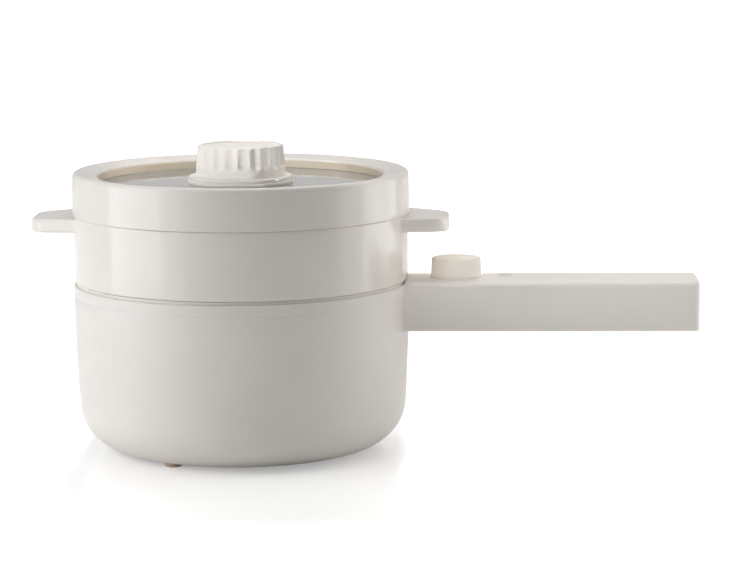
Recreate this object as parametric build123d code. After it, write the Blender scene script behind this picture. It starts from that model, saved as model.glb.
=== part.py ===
from build123d import *
import os
from math import atan2, cos, degrees, radians, sin, sqrt

# Countertop multicooker: an electric pot with a side handle, a steamer tier and a glass lid that lift off.
# Millimetres. The origin is on the pot's axis at the floor, +Z is up and +X runs along the handle.

# Fits and cuts
overrun = 2.0  # every cut runs this far past the face that it opens
lift_gap = 0.3  # radial room between pieces that lift off one another
seat_gap = 0.2  # height between a piece that lifts off and its seat
mould_gap = 0.15  # room between mouldings that plug into each other
screw_gap = 0.1  # radial room round a screw
running_gap = 0.05  # radial room round the turning shaft

# Pot shell and its rim collar
foot_standoff = 0.9  # floor to the shell's underside
shell_height = 92.0
shell_radius = 99.5  # at the upper edge
shell_wall = 2.6
shell_corner = 28.0  # rounding between the wall and the underside
wall_curve = 1000.0  # radius of the wall's gentle curve
collar_height = 6.3
collar_plate = 2.6
collar_skirt = 4.5  # depth of the skirt that plugs into the shell
collar_skirt_wall = 2.4
collar_edge = 0.8

# Inner pot
pot_setback = 11.5  # pot's bore inside the shell's outer face
pot_wall = 2.0
pot_floor_height = 33.0  # pot's inside floor above the shell's underside
pot_corner = 12.0  # inside rounding at the pot's floor
pot_flange_setback = 1.5  # flange's edge inside the shell's outer face
pot_flange_thickness = 1.8
pot_flange_edge = 0.7

# Heater, safety parts and base
plate_overhang = 13.0  # plate's edge outside the pillars' circle
plate_thickness = 5.0
element_setback = 11.0  # element's ring inside the pillars' circle
element_tube_radius = 4.0
element_inset = 3.0  # how deep the tube lies in the plate
element_gap_angle = 60.0  # opening of the ring, towards the handle
terminal_radius = 2.0
terminal_length = 12.0
terminal_setback_angle = 4.0
thermostat_radius = 8.0
thermostat_height = 7.0
thermostat_flange_radius = 11.0
thermostat_flange_thickness = 1.2
fuse_radius = 2.2
fuse_length = 16.0
fuse_gap = 10.0  # fuse's axis outside the element's tube
clip_width = 6.0
clip_thickness = 1.0
clip_foot = 5.0
pillar_setback = 9.0  # pillars' circle inside the base opening
pillar_radius = 4.5
pillar_neck_radius = 3.2
pillar_count = 3
pillar_first_angle = 60.0
shield_overhang = 2.0  # shield's edge outside the plate's
shield_thickness = 0.8
shield_height = 10.0  # above the shell's underside
base_margin = 4.5  # cover's rim inside the edge of the flat underside
base_rim = 5.0  # overlap of the cover on the shell, sunk flush in its underside
base_rim_thickness = 1.2
base_plug_height = 4.2
base_screw_radius = 2.0
base_screw_length = 12.0
base_head_radius = 3.8
base_head_height = 2.2
foot_setback = 26.5  # feet's circle inside the shell's outer face
foot_radius = 5.2
foot_stem_radius = 3.0
foot_bead_radius = 4.2
foot_bead_height = 2.0  # above the shell's inner face on the foot's axis
foot_edge = 0.6
foot_count = 3

# Handle
handle_width = 43.1
handle_height = 29.4
handle_rise = 1.5  # handle's top above the collar's top
handle_length = 171.5  # from the pot's wall to the end face
handle_wall = 2.5
handle_edge = 2.4
root_wall = 4.1  # at the handle's middle, beyond the pot's wall
end_cap_thickness = 6.2
end_cap_corner = 4.5
end_cap_spigot = 6.0
end_cap_spigot_wall = 2.0
bottom_cover_thickness = 2.5
bottom_cover_recess = 0.4
cover_boss_radius = 3.6
cover_boss_setback = 46.5  # first boss from the pot's wall
cover_boss_end_setback = 57.0  # last boss from the handle's end face
cover_screw_radius = 1.5
cover_screw_length = 10.0
cover_head_radius = 2.8
cover_head_height = 1.6
window_inset = 5.4  # edges of the wire passage into the handle, inside the handle's screws
window_height = 11.0
window_bottom = 4.0  # above the handle's underside
clamp_inset = 4.6  # clamp's inner edge inside the handle's screws
clamp_side = 1.55  # clamp's outer edge inside the handle's side
clamp_bottom = 2.0  # above the handle's underside
clamp_height = 13.5
clamp_depth = 3.9  # clamp's flat face inside the shell's inner face
handle_screw_side = 6.15  # screws inside the handle's side
handle_screw_heights = (5.2, 12.2)  # above the handle's underside
handle_screw_radius = 1.6
handle_screw_length = 15.0
handle_head_radius = 2.8
handle_head_height = 2.0
root_boss_radius = 3.1
root_boss_length = 6.0

# Switch, dial and indicator
dial_setback = 28.2  # dial's axis from the pot's wall
dial_radius = 15.0
dial_taper = 0.45  # how much narrower the dial is at its top
dial_height = 10.8
dial_edge = 1.2
dial_wall = 2.6
dial_boss_radius = 5.2
dial_boss_rise = 0.5  # boss end above the dial's lower edge
bezel_width = 2.7
bezel_overhang = 0.7  # bezel's edge beyond the dial's
bezel_height = 1.3
bezel_edge = 0.8
shaft_radius = 3.0
shaft_depth = 10.0  # shaft below the handle's top face
switch_side = 21.0
switch_height = 17.8
bush_radius = 4.5
bush_rise = 1.7  # above the handle's top face
nut_flats = 11.0
nut_thickness = 1.6
lug_length = 4.0
lug_width = 4.0
lug_thickness = 0.8
lens_setback = 57.5  # lens's middle from the pot's wall
lens_side = 9.95  # lens's middle inside the handle's side
lens_width = 8.4
lens_length = 13.4
lens_proud = 0.3
lens_flange = 0.6
lens_flange_thickness = 0.8
board_setback = 50.5  # board's start from the pot's wall
board_boss_gap = 10.0  # board's end before the last cover boss
board_overlap = 8.0  # board's edge beyond the handle's middle plane
board_side_gap = 0.65  # board's other edge inside the handle's cavity
board_thickness = 1.6
board_drop = 8.3  # board's upper face below the handle's inner ceiling
board_post_radius = 2.6
board_post_inset = 3.4  # posts inside the board's ends
board_post_margin = 4.6  # posts inside the board's sides
board_screw_radius = 1.2
board_screw_length = 7.0
board_head_radius = 2.2
board_head_height = 1.4
led_radius = 2.5
led_gap = 0.3  # under the lens

# Power inlet
inlet_side = 7.95  # inlet's sides inside the handle's
inlet_margin = 5.5  # inlet's top and bottom inside the handle's
inlet_wall = 1.2
inlet_depth = 20.0
inlet_back = 3.6
inlet_recess = 0.4  # inlet's face behind the cap's face
inlet_flange = 2.6  # beyond the shroud's sides
inlet_flange_thickness = 2.4
pin_spacing = 7.0
pin_offset = 2.0  # above and below the inlet's middle
pin_thickness = 2.0
pin_width = 4.0
pin_setback = 2.6  # pin ends behind the inlet's face
pin_tail = 7.0  # behind the inlet's back

# Wires
lead_radius = 1.1
lead_bend = 5.0
heater_lead_inset = 4.0  # heater leads inside the wire passage's edges
heater_lead_low = 18.0  # above the shell's underside
lead_rise_gap = 4.2  # vertical runs inside the shell's inner face
lead_turn_run = 8.7
lead_turn_height = 42.0  # above the shell's underside
earth_side_gap = 5.55  # earth lead's middle inside the handle's cavity
earth_rise = 2.5  # earth lead's middle above the lower cover
earth_start = 12.0  # first run behind the pin
earth_cross = 12.0  # runs of the two side steps
earth_end_setback = 8.0  # inside the plate's edge
earth_low = 20.0  # above the shell's underside

# Steamer tier
steamer_step = 0.5  # tier's wall inside the shell's outer face
steamer_wall = 2.4
steamer_height = 39.5  # from its shoulder to its rim
steamer_neck_depth = 8.0
steamer_floor = 2.4
steamer_edge = 1.0
steamer_inner_edge = 3.0
steam_hole_radius = 2.5
steam_hole_pitch = 15.0
tab_length = 24.6  # beyond the tier's wall
tab_width = 60.0
tab_tip_width = 38.0
tab_thickness = 8.1
tab_drop = 1.2  # tab's top below the tier's rim
tab_corner = 9.0
tab_edge = 1.4
tab_droop = 2.2  # degrees

# Lid
lid_overhang = 1.0  # lid's lower edge outside the tier's wall
lid_taper = 0.5
lid_height = 25.1
lid_edge = 2.6
lid_skirt_wall = 3.0
lid_band = 15.2  # from the lid's lower edge to the inner edge of its top
lid_dish = 2.7  # inner edge below the crest
lid_lip = 2.8
lid_lip_edge = 1.8
lid_plate = 2.3
lid_inner_edge = 0.4
gasket_face = 2.4  # visible height of the seal above the glass
gasket_setback = 0.3  # seal's face behind the ring's inner edge
gasket_lower_leg = 1.8
gasket_grip = 2.8  # seal's hold on the glass
gasket_back = 2.2  # seal outside the glass
pocket_wall = 2.5
glass_thickness = 4.0
glass_edge = 0.6
glass_hole = 4.0
retainer_plate = 2.4
retainer_reach = 1.0  # retainer's inner edge outside the ring's
skirt_depth = 6.0  # centring skirt below the lid's lower edge
skirt_wall = 2.4
skirt_edge = 0.8

# Knob
knob_base_margin = 3.9  # flange's edge outside the knob's foot
knob_base_height = 4.4
knob_base_step = 0.5
knob_base_lip = 1.8
knob_base_edge = 1.1
knob_flare = 0.9  # foot's edge outside the knob's waist
knob_foot_height = 2.4
knob_radius = 26.4
knob_taper = 0.9  # top's edge inside the knob's waist
knob_height = 18.0
knob_edge = 0.8
knob_rim = 2.7
knob_dish = 0.8
knob_wall = 5.9  # at the knob's waist
knob_hollow_depth = 12.5
knob_boss_radius = 6.0
scallop_count = 22
scallop_radius = 4.6
scallop_depth = 1.0
scallop_start = 4.5  # lower ends above the knob's foot
washer_radius = 14.0
washer_thickness = 1.6
knob_screw_radius = 2.5
knob_screw_length = 18.4
knob_head_radius = 5.0
knob_head_height = 3.2

# Radii and places worked out from the sizes above
pot_bore = shell_radius - pot_setback
pot_flange_radius = shell_radius - pot_flange_setback
base_opening = shell_radius - shell_corner - base_margin - base_rim
pillar_circle = base_opening - pillar_setback
plate_radius = pillar_circle + plate_overhang
shield_radius = plate_radius + shield_overhang
element_ring_radius = pillar_circle - element_setback
fuse_offset = element_ring_radius + element_tube_radius + fuse_gap
foot_circle = shell_radius - foot_setback
handle_reach = shell_radius + handle_length
handle_seam = handle_reach - end_cap_thickness
root_inside = shell_radius + root_wall
cavity_half = handle_width / 2 - handle_wall
cover_boss_places = (shell_radius + cover_boss_setback, handle_reach - cover_boss_end_setback)
clamp_face = shell_radius - shell_wall - clamp_depth
handle_screw_offset = handle_width / 2 - handle_screw_side
window_width = 2 * (handle_screw_offset - window_inset)
clamp_inner = handle_screw_offset - clamp_inset
clamp_outer = handle_width / 2 - clamp_side
dial_place = shell_radius + dial_setback
lens_place = (shell_radius + lens_setback, handle_width / 2 - lens_side)
board_ends = (shell_radius + board_setback, cover_boss_places[1] - board_boss_gap)
board_edges = (-board_overlap, cavity_half - board_side_gap)
inlet_width = handle_width - 2 * inlet_side
inlet_height = handle_height - 2 * inlet_margin
heater_lead_offset = window_width / 2 - heater_lead_inset
lead_rise_place = shell_radius - shell_wall - lead_rise_gap
lead_turn_place = lead_rise_place - lead_turn_run
earth_side = cavity_half - earth_side_gap
earth_end_place = plate_radius - earth_end_setback
steamer_radius = shell_radius - steamer_step
steamer_neck_radius = pot_bore - lift_gap
tab_reach = steamer_radius + tab_length
lid_radius = steamer_radius + lid_overhang
lid_inner_radius = lid_radius - lid_band
gasket_inner_radius = lid_inner_radius + gasket_setback
glass_radius = gasket_inner_radius + gasket_grip
gasket_radius = glass_radius + gasket_back
knob_foot_radius = knob_radius + knob_flare
knob_top_radius = knob_radius - knob_taper
knob_hollow_radius = knob_radius - knob_wall
knob_base_radius = knob_foot_radius + knob_base_margin

# Heights worked out from the sizes above
shell_bottom = foot_standoff
shell_top = shell_bottom + shell_height
collar_top = shell_top + collar_height
pot_rim_top = collar_top + pot_flange_thickness
pot_floor = shell_bottom + pot_floor_height
plate_top = pot_floor - pot_wall
plate_bottom = plate_top - plate_thickness
shield_bottom = shell_bottom + shield_height
cover_rim_top = shell_bottom + base_rim_thickness
cover_top = shell_bottom + base_plug_height
handle_top = collar_top + handle_rise
handle_bottom = handle_top - handle_height
handle_middle = (handle_top + handle_bottom) / 2
handle_ceiling = handle_top - handle_wall
cover_plate_bottom = handle_bottom + bottom_cover_recess
cover_plate_top = cover_plate_bottom + bottom_cover_thickness
lead_height = handle_middle - pin_offset
dial_bottom = handle_top + bezel_height + lift_gap
dial_top = dial_bottom + dial_height
shaft_bottom = handle_top - shaft_depth
shaft_top = dial_top - dial_wall
board_top = handle_ceiling - board_drop
board_bottom = board_top - board_thickness
steamer_bottom = pot_rim_top + seat_gap
steamer_top = steamer_bottom + steamer_height
steamer_neck_bottom = steamer_bottom - steamer_neck_depth
lid_bottom = steamer_top + seat_gap
lid_top = lid_bottom + lid_height
lid_inner_top = lid_top - lid_dish
gasket_top = lid_inner_top - lid_lip
glass_top = gasket_top - gasket_face
glass_bottom = glass_top - glass_thickness
gasket_bottom = glass_bottom - gasket_lower_leg
knob_base_top = glass_top + knob_base_height
knob_top = knob_base_top + knob_height


def block(x0, x1, y0, y1, z0, z1):
    """Box between two corners."""
    centre = Pos((x0 + x1) / 2, (y0 + y1) / 2, (z0 + z1) / 2)
    return centre * Box(x1 - x0, y1 - y0, z1 - z0)


def post(x, y, z0, z1, radius):
    """Upright round bar."""
    return Pos(x, y, (z0 + z1) / 2) * Cylinder(radius, z1 - z0)


def bar(x0, x1, y, z, radius):
    """Round bar along X."""
    return Pos((x0 + x1) / 2, y, z) * Rot(0, 90, 0) * Cylinder(radius, x1 - x0)


def outline(*corners):
    """Closed face in the XZ plane; a corner is (x, z) or (x, z, rounding)."""
    points = [(x, z) for x, z, *_ in corners]
    roundings = [rest[0] if rest else 0 for _, _, *rest in corners]
    return make_face(Plane.XZ * FilletPolyline(*points, radius=roundings, close=True))


def turned(*corners):
    """Solid of revolution about the pot's axis from its half section."""
    return revolve(outline(*corners), axis=Axis.Z)


def on_circle(radius, count, first_angle=0.0):
    """Evenly spaced places on a circle about the pot's axis."""
    angles = [radians(first_angle + 360 * i / count) for i in range(count)]
    return [(radius * cos(a), radius * sin(a)) for a in angles]


def wire(*points):
    """Insulated lead along straight runs joined by tangent arcs."""
    path = FilletPolyline(*points, radius=lead_bend) if len(points) > 2 else Line(*points)
    return sweep(Plane(path @ 0, z_dir=path % 0) * Circle(lead_radius), path=path)


def pot_envelope(inset):
    """Everything inside the shell's outer face, drawn in by inset all round."""
    bottom = shell_bottom + inset
    corner = shell_corner - inset
    wall = wall_curve - inset
    wall_centre = shell_radius - wall_curve
    drop = shell_top - bottom - corner
    corner_centre = wall_centre + sqrt((wall - corner) ** 2 - drop**2)
    join = degrees(atan2(-drop, corner_centre - wall_centre))
    edges = [
        Line((0, bottom), (corner_centre, bottom)),
        CenterArc((corner_centre, bottom + corner), corner, -90, 90 + join),
        CenterArc((wall_centre, shell_top), wall, join, -join),
        Line((shell_radius - inset, shell_top), (0, shell_top)),
        Line((0, shell_top), (0, bottom)),
    ]
    return revolve(make_face([Plane.XZ * edge for edge in edges]), axis=Axis.Z)


shell_outside = pot_envelope(0)
shell_inside = pot_envelope(shell_wall)
foot_places = on_circle(foot_circle, foot_count)
pillar_places = on_circle(pillar_circle, pillar_count, pillar_first_angle)
window = block(
    clamp_face,
    root_inside + overrun,
    -window_width / 2,
    window_width / 2,
    handle_bottom + window_bottom,
    handle_bottom + window_bottom + window_height,
)
handle_screw_places = [
    (side * handle_screw_offset, handle_bottom + height)
    for side in (-1, 1)
    for height in handle_screw_heights
]
board_post_places = [
    (board_ends[0] + board_post_inset, board_edges[0] + board_post_margin),
    (board_ends[1] - board_post_inset, board_edges[0] + board_post_margin),
    (board_ends[1] - board_post_inset, board_edges[1] - board_post_margin),
]


def outer_shell():
    """Pot's outer moulding: an open round shell with a stepped hole for the base cover."""
    shell = shell_outside - shell_inside - window
    shell -= post(0, 0, shell_bottom - overrun, cover_rim_top, base_opening + base_rim + mould_gap)
    shell -= post(0, 0, shell_bottom - overrun, shell_bottom + shell_wall + overrun, base_opening)
    for x, y in foot_places:
        shell -= post(x, y, 0, shell_bottom + shell_corner, foot_stem_radius + screw_gap)
    for y, z in handle_screw_places:
        shell -= bar(clamp_face, root_inside, y, z, handle_screw_radius + screw_gap)
    return shell


def rim_collar():
    """Ring that caps the shell and carries the inner pot's flange."""
    bore = pot_bore + pot_wall + mould_gap
    skirt_out = shell_radius - shell_wall - mould_gap
    skirt_in = skirt_out - collar_skirt_wall
    skirt_bottom = shell_top - collar_skirt
    plate_under = collar_top - collar_plate
    return turned(
        (bore, plate_under),
        (bore, collar_top),
        (shell_radius, collar_top, collar_edge),
        (shell_radius, shell_top),
        (skirt_out, shell_top),
        (skirt_out, skirt_bottom),
        (skirt_in, skirt_bottom),
        (skirt_in, plate_under),
    )


def inner_pot():
    """Metal cooking pot with a flange that rests on the collar."""
    outside = pot_bore + pot_wall
    return turned(
        (0, plate_top),
        (outside, plate_top, pot_corner + pot_wall),
        (outside, collar_top),
        (pot_flange_radius, collar_top, pot_flange_edge),
        (pot_flange_radius, pot_rim_top, pot_flange_edge),
        (pot_bore, pot_rim_top, pot_flange_edge),
        (pot_bore, pot_floor, pot_corner),
        (0, pot_floor),
    )


def element_tube():
    """Open ring of the heating element, without its terminals."""
    height = plate_bottom - element_tube_radius + element_inset
    section = Plane.XZ * Pos(element_ring_radius, height) * Circle(element_tube_radius)
    ring = revolve(section, axis=Axis.Z, revolution_arc=360 - element_gap_angle)
    return Rot(0, 0, element_gap_angle / 2) * ring


def terminal_places():
    """Centres of the two terminals, just inside the ends of the ring."""
    angle = radians(element_gap_angle / 2 + terminal_setback_angle)
    return [(element_ring_radius * cos(angle), side * element_ring_radius * sin(angle)) for side in (-1, 1)]


def heating_element():
    """Ring heater with two terminals that point down."""
    height = plate_bottom - element_tube_radius + element_inset
    shape = element_tube()
    for x, y in terminal_places():
        shape += post(x, y, height - terminal_length, height, terminal_radius)
    return shape


def heating_plate():
    """Aluminium plate under the inner pot, grooved for the element."""
    plate = post(0, 0, plate_bottom, plate_top, plate_radius)
    return plate - element_tube()


def thermostat():
    """Flanged thermostat held against the plate's middle."""
    flange_bottom = plate_bottom - thermostat_flange_thickness
    flange = post(0, 0, flange_bottom, plate_bottom, thermostat_flange_radius)
    return flange + post(0, 0, flange_bottom - thermostat_height, flange_bottom, thermostat_radius)


def thermal_fuse():
    """Round fuse lying under the plate."""
    return bar(-fuse_length / 2, fuse_length / 2, -fuse_offset, plate_bottom - fuse_radius, fuse_radius)


def fuse_clip():
    """Strap over the fuse, with two feet on the plate."""
    half = fuse_radius + screw_gap
    low = plate_bottom - 2 * half
    outside = half + clip_thickness
    ends = (-clip_width / 2, clip_width / 2)
    strap = block(*ends, -outside, outside, low - clip_thickness, plate_bottom)
    feet_reach = outside + clip_foot
    feet = block(*ends, -feet_reach, feet_reach, plate_bottom - clip_thickness, plate_bottom)
    inside = block(-clip_width, clip_width, -half, half, low, plate_bottom + overrun)
    return Pos(0, -fuse_offset, 0) * (strap + feet - inside)


def support_pillars():
    """Shouldered pillars from the base cover to the heating plate."""
    pilot_top = cover_top + base_screw_length
    pillars = []
    for x, y in pillar_places:
        pillar = post(x, y, cover_top, shield_bottom, pillar_radius)
        pillar += post(x, y, shield_bottom, plate_bottom, pillar_neck_radius)
        pillars.append(pillar - post(x, y, cover_top - overrun, pilot_top, base_screw_radius + screw_gap))
    return Compound(children=pillars)


def heat_shield():
    """Thin reflector on the pillars' shoulders."""
    shield = post(0, 0, shield_bottom, shield_bottom + shield_thickness, shield_radius)
    for x, y in pillar_places:
        hole_top = shield_bottom + shield_thickness + overrun
        shield -= post(x, y, shield_bottom - overrun, hole_top, pillar_neck_radius + screw_gap)
    return shield


def base_cover():
    """Cover under the pot: a plug in the shell's opening with a thin rim sunk in its underside."""
    cover = post(0, 0, shell_bottom, cover_rim_top, base_opening + base_rim)
    cover += post(0, 0, cover_rim_top, cover_top, base_opening - mould_gap)
    for x, y in pillar_places:
        cover -= post(x, y, shell_bottom - overrun, cover_top + overrun, base_screw_radius + screw_gap)
        head_top = shell_bottom + base_head_height
        cover -= post(x, y, shell_bottom - overrun, head_top, base_head_radius + screw_gap)
    return cover


def base_screws():
    """Three screws from below into the pillars."""
    seat = shell_bottom + base_head_height
    screws = []
    for x, y in pillar_places:
        head = post(x, y, shell_bottom, seat, base_head_radius)
        screws.append(head + post(x, y, seat, seat + base_screw_length, base_screw_radius))
    return Compound(children=screws)


def rubber_feet():
    """Three feet, each with a stem and a bead that hold it in the shell."""
    corner_centre = shell_radius - shell_corner
    inner_height = shell_bottom + shell_wall + (foot_circle - corner_centre) ** 2 / (2 * shell_corner)
    bead_top = inner_height + foot_bead_height
    feet = []
    for x, y in foot_places:
        pad = Pos(x, y, 0) * turned(
            (0, 0),
            (foot_radius, 0, foot_edge),
            (foot_radius, shell_bottom + shell_corner),
            (0, shell_bottom + shell_corner),
        )
        foot = pad - shell_outside
        foot = max(foot.solids(), key=lambda solid: -solid.center().Z)
        foot += post(x, y, foot_edge, bead_top, foot_stem_radius)
        foot += post(x, y, shell_bottom, bead_top, foot_bead_radius) & shell_inside
        feet.append(foot)
    return Compound(children=feet)


def handle_blank(x0, x1):
    """Handle's rounded section carried from x0 to x1."""
    section = RectangleRounded(handle_width, handle_height, handle_edge)
    return extrude(Plane.YZ.offset(x0) * Pos(0, handle_middle) * section, amount=x1 - x0)


def lens_blank(grow, z0, z1):
    """Pill-shaped block at the indicator's place, grown all round."""
    x, y = lens_place
    width = lens_width + 2 * grow
    length = lens_length + 2 * grow
    half_run = (length - width) / 2
    ends = [post(x, y + side * half_run, z0, z1, width / 2) for side in (-1, 1)]
    return ends[0] + ends[1] + block(x - width / 2, x + width / 2, y - half_run, y + half_run, z0, z1)


def handle_body():
    """Handle's main moulding: open below and at its end, with a raised ring round the dial."""
    body = handle_blank(shell_radius - shell_wall - root_wall, handle_seam)
    body -= shell_outside
    body -= post(0, 0, shell_top, handle_top + overrun, shell_radius)
    inside = block(
        root_inside, handle_seam + overrun, -cavity_half, cavity_half, handle_bottom - overrun, handle_ceiling
    )
    body -= inside
    ring_out = dial_radius + bezel_overhang
    ring = Pos(dial_place, 0, 0) * turned(
        (ring_out - bezel_width, handle_ceiling),
        (ring_out - bezel_width, handle_top + bezel_height),
        (ring_out, handle_top + bezel_height, bezel_edge),
        (ring_out, handle_ceiling),
    )
    body += ring
    for x in cover_boss_places:
        body += post(x, 0, cover_plate_top, handle_ceiling + handle_wall / 2, cover_boss_radius)
        pilot_top = cover_plate_top + cover_screw_length
        body -= post(x, 0, cover_plate_top - overrun, pilot_top, cover_screw_radius + screw_gap)
    for x, y in board_post_places:
        body += post(x, y, board_top, handle_ceiling + handle_wall / 2, board_post_radius)
        pilot_top = board_top + board_screw_length
        body -= post(x, y, board_top - overrun, pilot_top, board_screw_radius + screw_gap)
    for y, z in handle_screw_places:
        body += bar(root_inside - root_wall / 2, root_inside + root_boss_length, y, z, root_boss_radius)
        pilot_end = clamp_face + handle_screw_length + overrun
        body -= bar(clamp_face, pilot_end, y, z, handle_screw_radius + screw_gap)
    body -= post(dial_place, 0, handle_ceiling - overrun, handle_top + overrun, bush_radius + screw_gap)
    body -= lens_blank(mould_gap, handle_ceiling - overrun, handle_top + overrun)
    return body - window


def handle_bottom_cover():
    """Plate that closes the handle from below."""
    half = cavity_half - mould_gap
    cover = block(
        root_inside + mould_gap, handle_seam - mould_gap, -half, half, cover_plate_bottom, cover_plate_top
    )
    for y, z in handle_screw_places:
        boss_end = root_inside + root_boss_length + mould_gap
        cover -= bar(root_inside, boss_end, y, z, root_boss_radius + mould_gap)
    low = cover_plate_bottom - overrun
    for x in cover_boss_places:
        cover -= post(x, 0, low, cover_plate_top + overrun, cover_screw_radius + screw_gap)
        cover -= post(x, 0, low, cover_plate_bottom + cover_head_height, cover_head_radius + screw_gap)
    return cover


def cover_screws():
    """Screws through the handle's lower cover into its bosses."""
    seat = cover_plate_bottom + cover_head_height
    screws = []
    for x in cover_boss_places:
        head = post(x, 0, cover_plate_bottom, seat, cover_head_radius)
        screws.append(head + post(x, 0, seat, seat + cover_screw_length, cover_screw_radius))
    return Compound(children=screws)


def handle_clamps():
    """Two pads on the shell's inner face that back the handle's screws."""
    bottom = handle_bottom + clamp_bottom
    pads = []
    for side in (-1, 1):
        edges = sorted((side * clamp_inner, side * clamp_outer))
        pad = block(clamp_face, shell_radius, *edges, bottom, bottom + clamp_height) & shell_inside
        for y, z in handle_screw_places:
            pad -= bar(clamp_face - overrun, shell_radius, y, z, handle_screw_radius + screw_gap)
        pads.append(pad)
    return Compound(children=[pad.solid() for pad in pads])


def handle_screws():
    """Four screws from inside the shell into the handle's root."""
    screws = []
    for y, z in handle_screw_places:
        head = bar(clamp_face - handle_head_height, clamp_face, y, z, handle_head_radius)
        screws.append(head + bar(clamp_face, clamp_face + handle_screw_length, y, z, handle_screw_radius))
    return Compound(children=screws)


def handle_end_cap():
    """Cap on the handle's end, with the opening for the power inlet."""
    place = Plane.XY.offset(handle_bottom) * Pos(handle_reach - handle_width / 2, 0)
    plan = extrude(place * RectangleRounded(handle_width, handle_width, end_cap_corner), amount=handle_height)
    cap = handle_blank(handle_seam, handle_reach) & plan
    half = cavity_half - mould_gap
    low = cover_plate_top + mould_gap
    high = handle_ceiling - mould_gap
    spigot = block(handle_seam - end_cap_spigot, handle_seam, -half, half, low, high)
    wall = end_cap_spigot_wall
    spigot -= block(
        handle_seam - end_cap_spigot - overrun,
        handle_seam,
        wall - half,
        half - wall,
        low + wall,
        high - wall,
    )
    cap += spigot
    opening_y = inlet_width / 2 + mould_gap
    opening_z = inlet_height / 2 + mould_gap
    return cap - block(
        handle_seam - overrun,
        handle_reach + overrun,
        -opening_y,
        opening_y,
        handle_middle - opening_z,
        handle_middle + opening_z,
    )


inlet_face = handle_reach - inlet_recess
inlet_floor = inlet_face - inlet_depth
inlet_rear = inlet_floor - inlet_back
pin_places = ((-pin_spacing, lead_height), (pin_spacing, lead_height), (0, handle_middle + pin_offset))
pin_tail_end = inlet_rear - pin_tail


def inlet_pin(y, z):
    """One flat pin of the inlet."""
    return block(
        pin_tail_end,
        inlet_face - pin_setback,
        y - pin_thickness / 2,
        y + pin_thickness / 2,
        z - pin_width / 2,
        z + pin_width / 2,
    )


def power_inlet():
    """Three-pin inlet: a shroud with a floor and a flange behind the cap."""
    half_y = inlet_width / 2
    half_z = inlet_height / 2
    low = handle_middle - half_z
    high = handle_middle + half_z
    shroud = block(inlet_rear, inlet_face, -half_y, half_y, low, high)
    flange_half = half_y + inlet_flange
    shroud += block(handle_seam - inlet_flange_thickness, handle_seam, -flange_half, flange_half, low, high)
    wall = inlet_wall
    shroud -= block(inlet_floor, inlet_face + overrun, wall - half_y, half_y - wall, low + wall, high - wall)
    for y, z in pin_places:
        shroud -= inlet_pin(y, z)
    return shroud


def inlet_pins():
    """The inlet's three pins, with tails for the leads."""
    return Compound(children=[inlet_pin(y, z) for y, z in pin_places])


def rotary_switch():
    """Switch body under the handle's top, with a threaded bush and four lugs."""
    half = switch_side / 2
    bottom = handle_ceiling - switch_height
    body = block(dial_place - half, dial_place + half, -half, half, bottom, handle_ceiling)
    bush_top = handle_top + bush_rise
    body += post(dial_place, 0, handle_ceiling, bush_top, bush_radius)
    body -= post(dial_place, 0, shaft_bottom - seat_gap, bush_top + overrun, shaft_radius + running_gap)
    for y in (-pin_spacing, pin_spacing):
        body += lug(dial_place + half, dial_place + half + lug_length, y)
    for y in (-heater_lead_offset, heater_lead_offset):
        body += lug(dial_place - half - lug_length, dial_place - half, y)
    return body


def lug(x0, x1, y):
    """Flat terminal on the switch's side."""
    half = lug_thickness / 2
    return block(x0, x1, y - lug_width / 2, y + lug_width / 2, lead_height - half, lead_height + half)


def switch_nut():
    """Hexagonal nut that holds the switch in the handle's top."""
    hexagon = RegularPolygon(nut_flats / 2, 6, major_radius=False)
    blank = Pos(dial_place, 0, handle_top) * extrude(hexagon, nut_thickness)
    nut_top = handle_top + nut_thickness
    return blank - post(dial_place, 0, handle_top - overrun, nut_top + overrun, bush_radius)


def dial_shaft():
    """Switch shaft that carries the dial."""
    return post(dial_place, 0, shaft_bottom, shaft_top, shaft_radius)


def control_dial():
    """Hollow dial with a boss on the shaft."""
    dial = turned(
        (0, dial_bottom),
        (dial_radius, dial_bottom),
        (dial_radius - dial_taper, dial_top, dial_edge),
        (0, dial_top),
    )
    inner = dial_radius - dial_taper - dial_wall
    dial -= post(0, 0, dial_bottom - overrun, shaft_top, inner)
    dial += post(0, 0, dial_bottom + dial_boss_rise, shaft_top + dial_wall / 2, dial_boss_radius)
    dial -= post(0, 0, dial_bottom - overrun, shaft_top, shaft_radius)
    return Pos(dial_place, 0, 0) * dial


def indicator_lens():
    """Clear pilot-light window in the handle's top, with a flange below."""
    lens = lens_blank(0, handle_ceiling, handle_top + lens_proud)
    return lens + lens_blank(lens_flange, handle_ceiling - lens_flange_thickness, handle_ceiling)


def control_board():
    """Board that carries the pilot light, hung from the handle's posts."""
    board = block(*board_ends, *board_edges, board_bottom, board_top)
    for x, y in board_post_places:
        board -= post(x, y, board_bottom - overrun, board_top + overrun, board_screw_radius + screw_gap)
    return board


def board_screws():
    """Screws that hold the board to its posts."""
    screws = []
    for x, y in board_post_places:
        head = post(x, y, board_bottom - board_head_height, board_bottom, board_head_radius)
        screws.append(head + post(x, y, board_bottom, board_bottom + board_screw_length, board_screw_radius))
    return Compound(children=screws)


def indicator_led():
    """Pilot light on the board, under the lens."""
    x, y = lens_place
    dome = handle_ceiling - lens_flange_thickness - led_gap - led_radius
    return post(x, y, board_top, dome, led_radius) + Pos(x, y, dome) * Sphere(led_radius)


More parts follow.
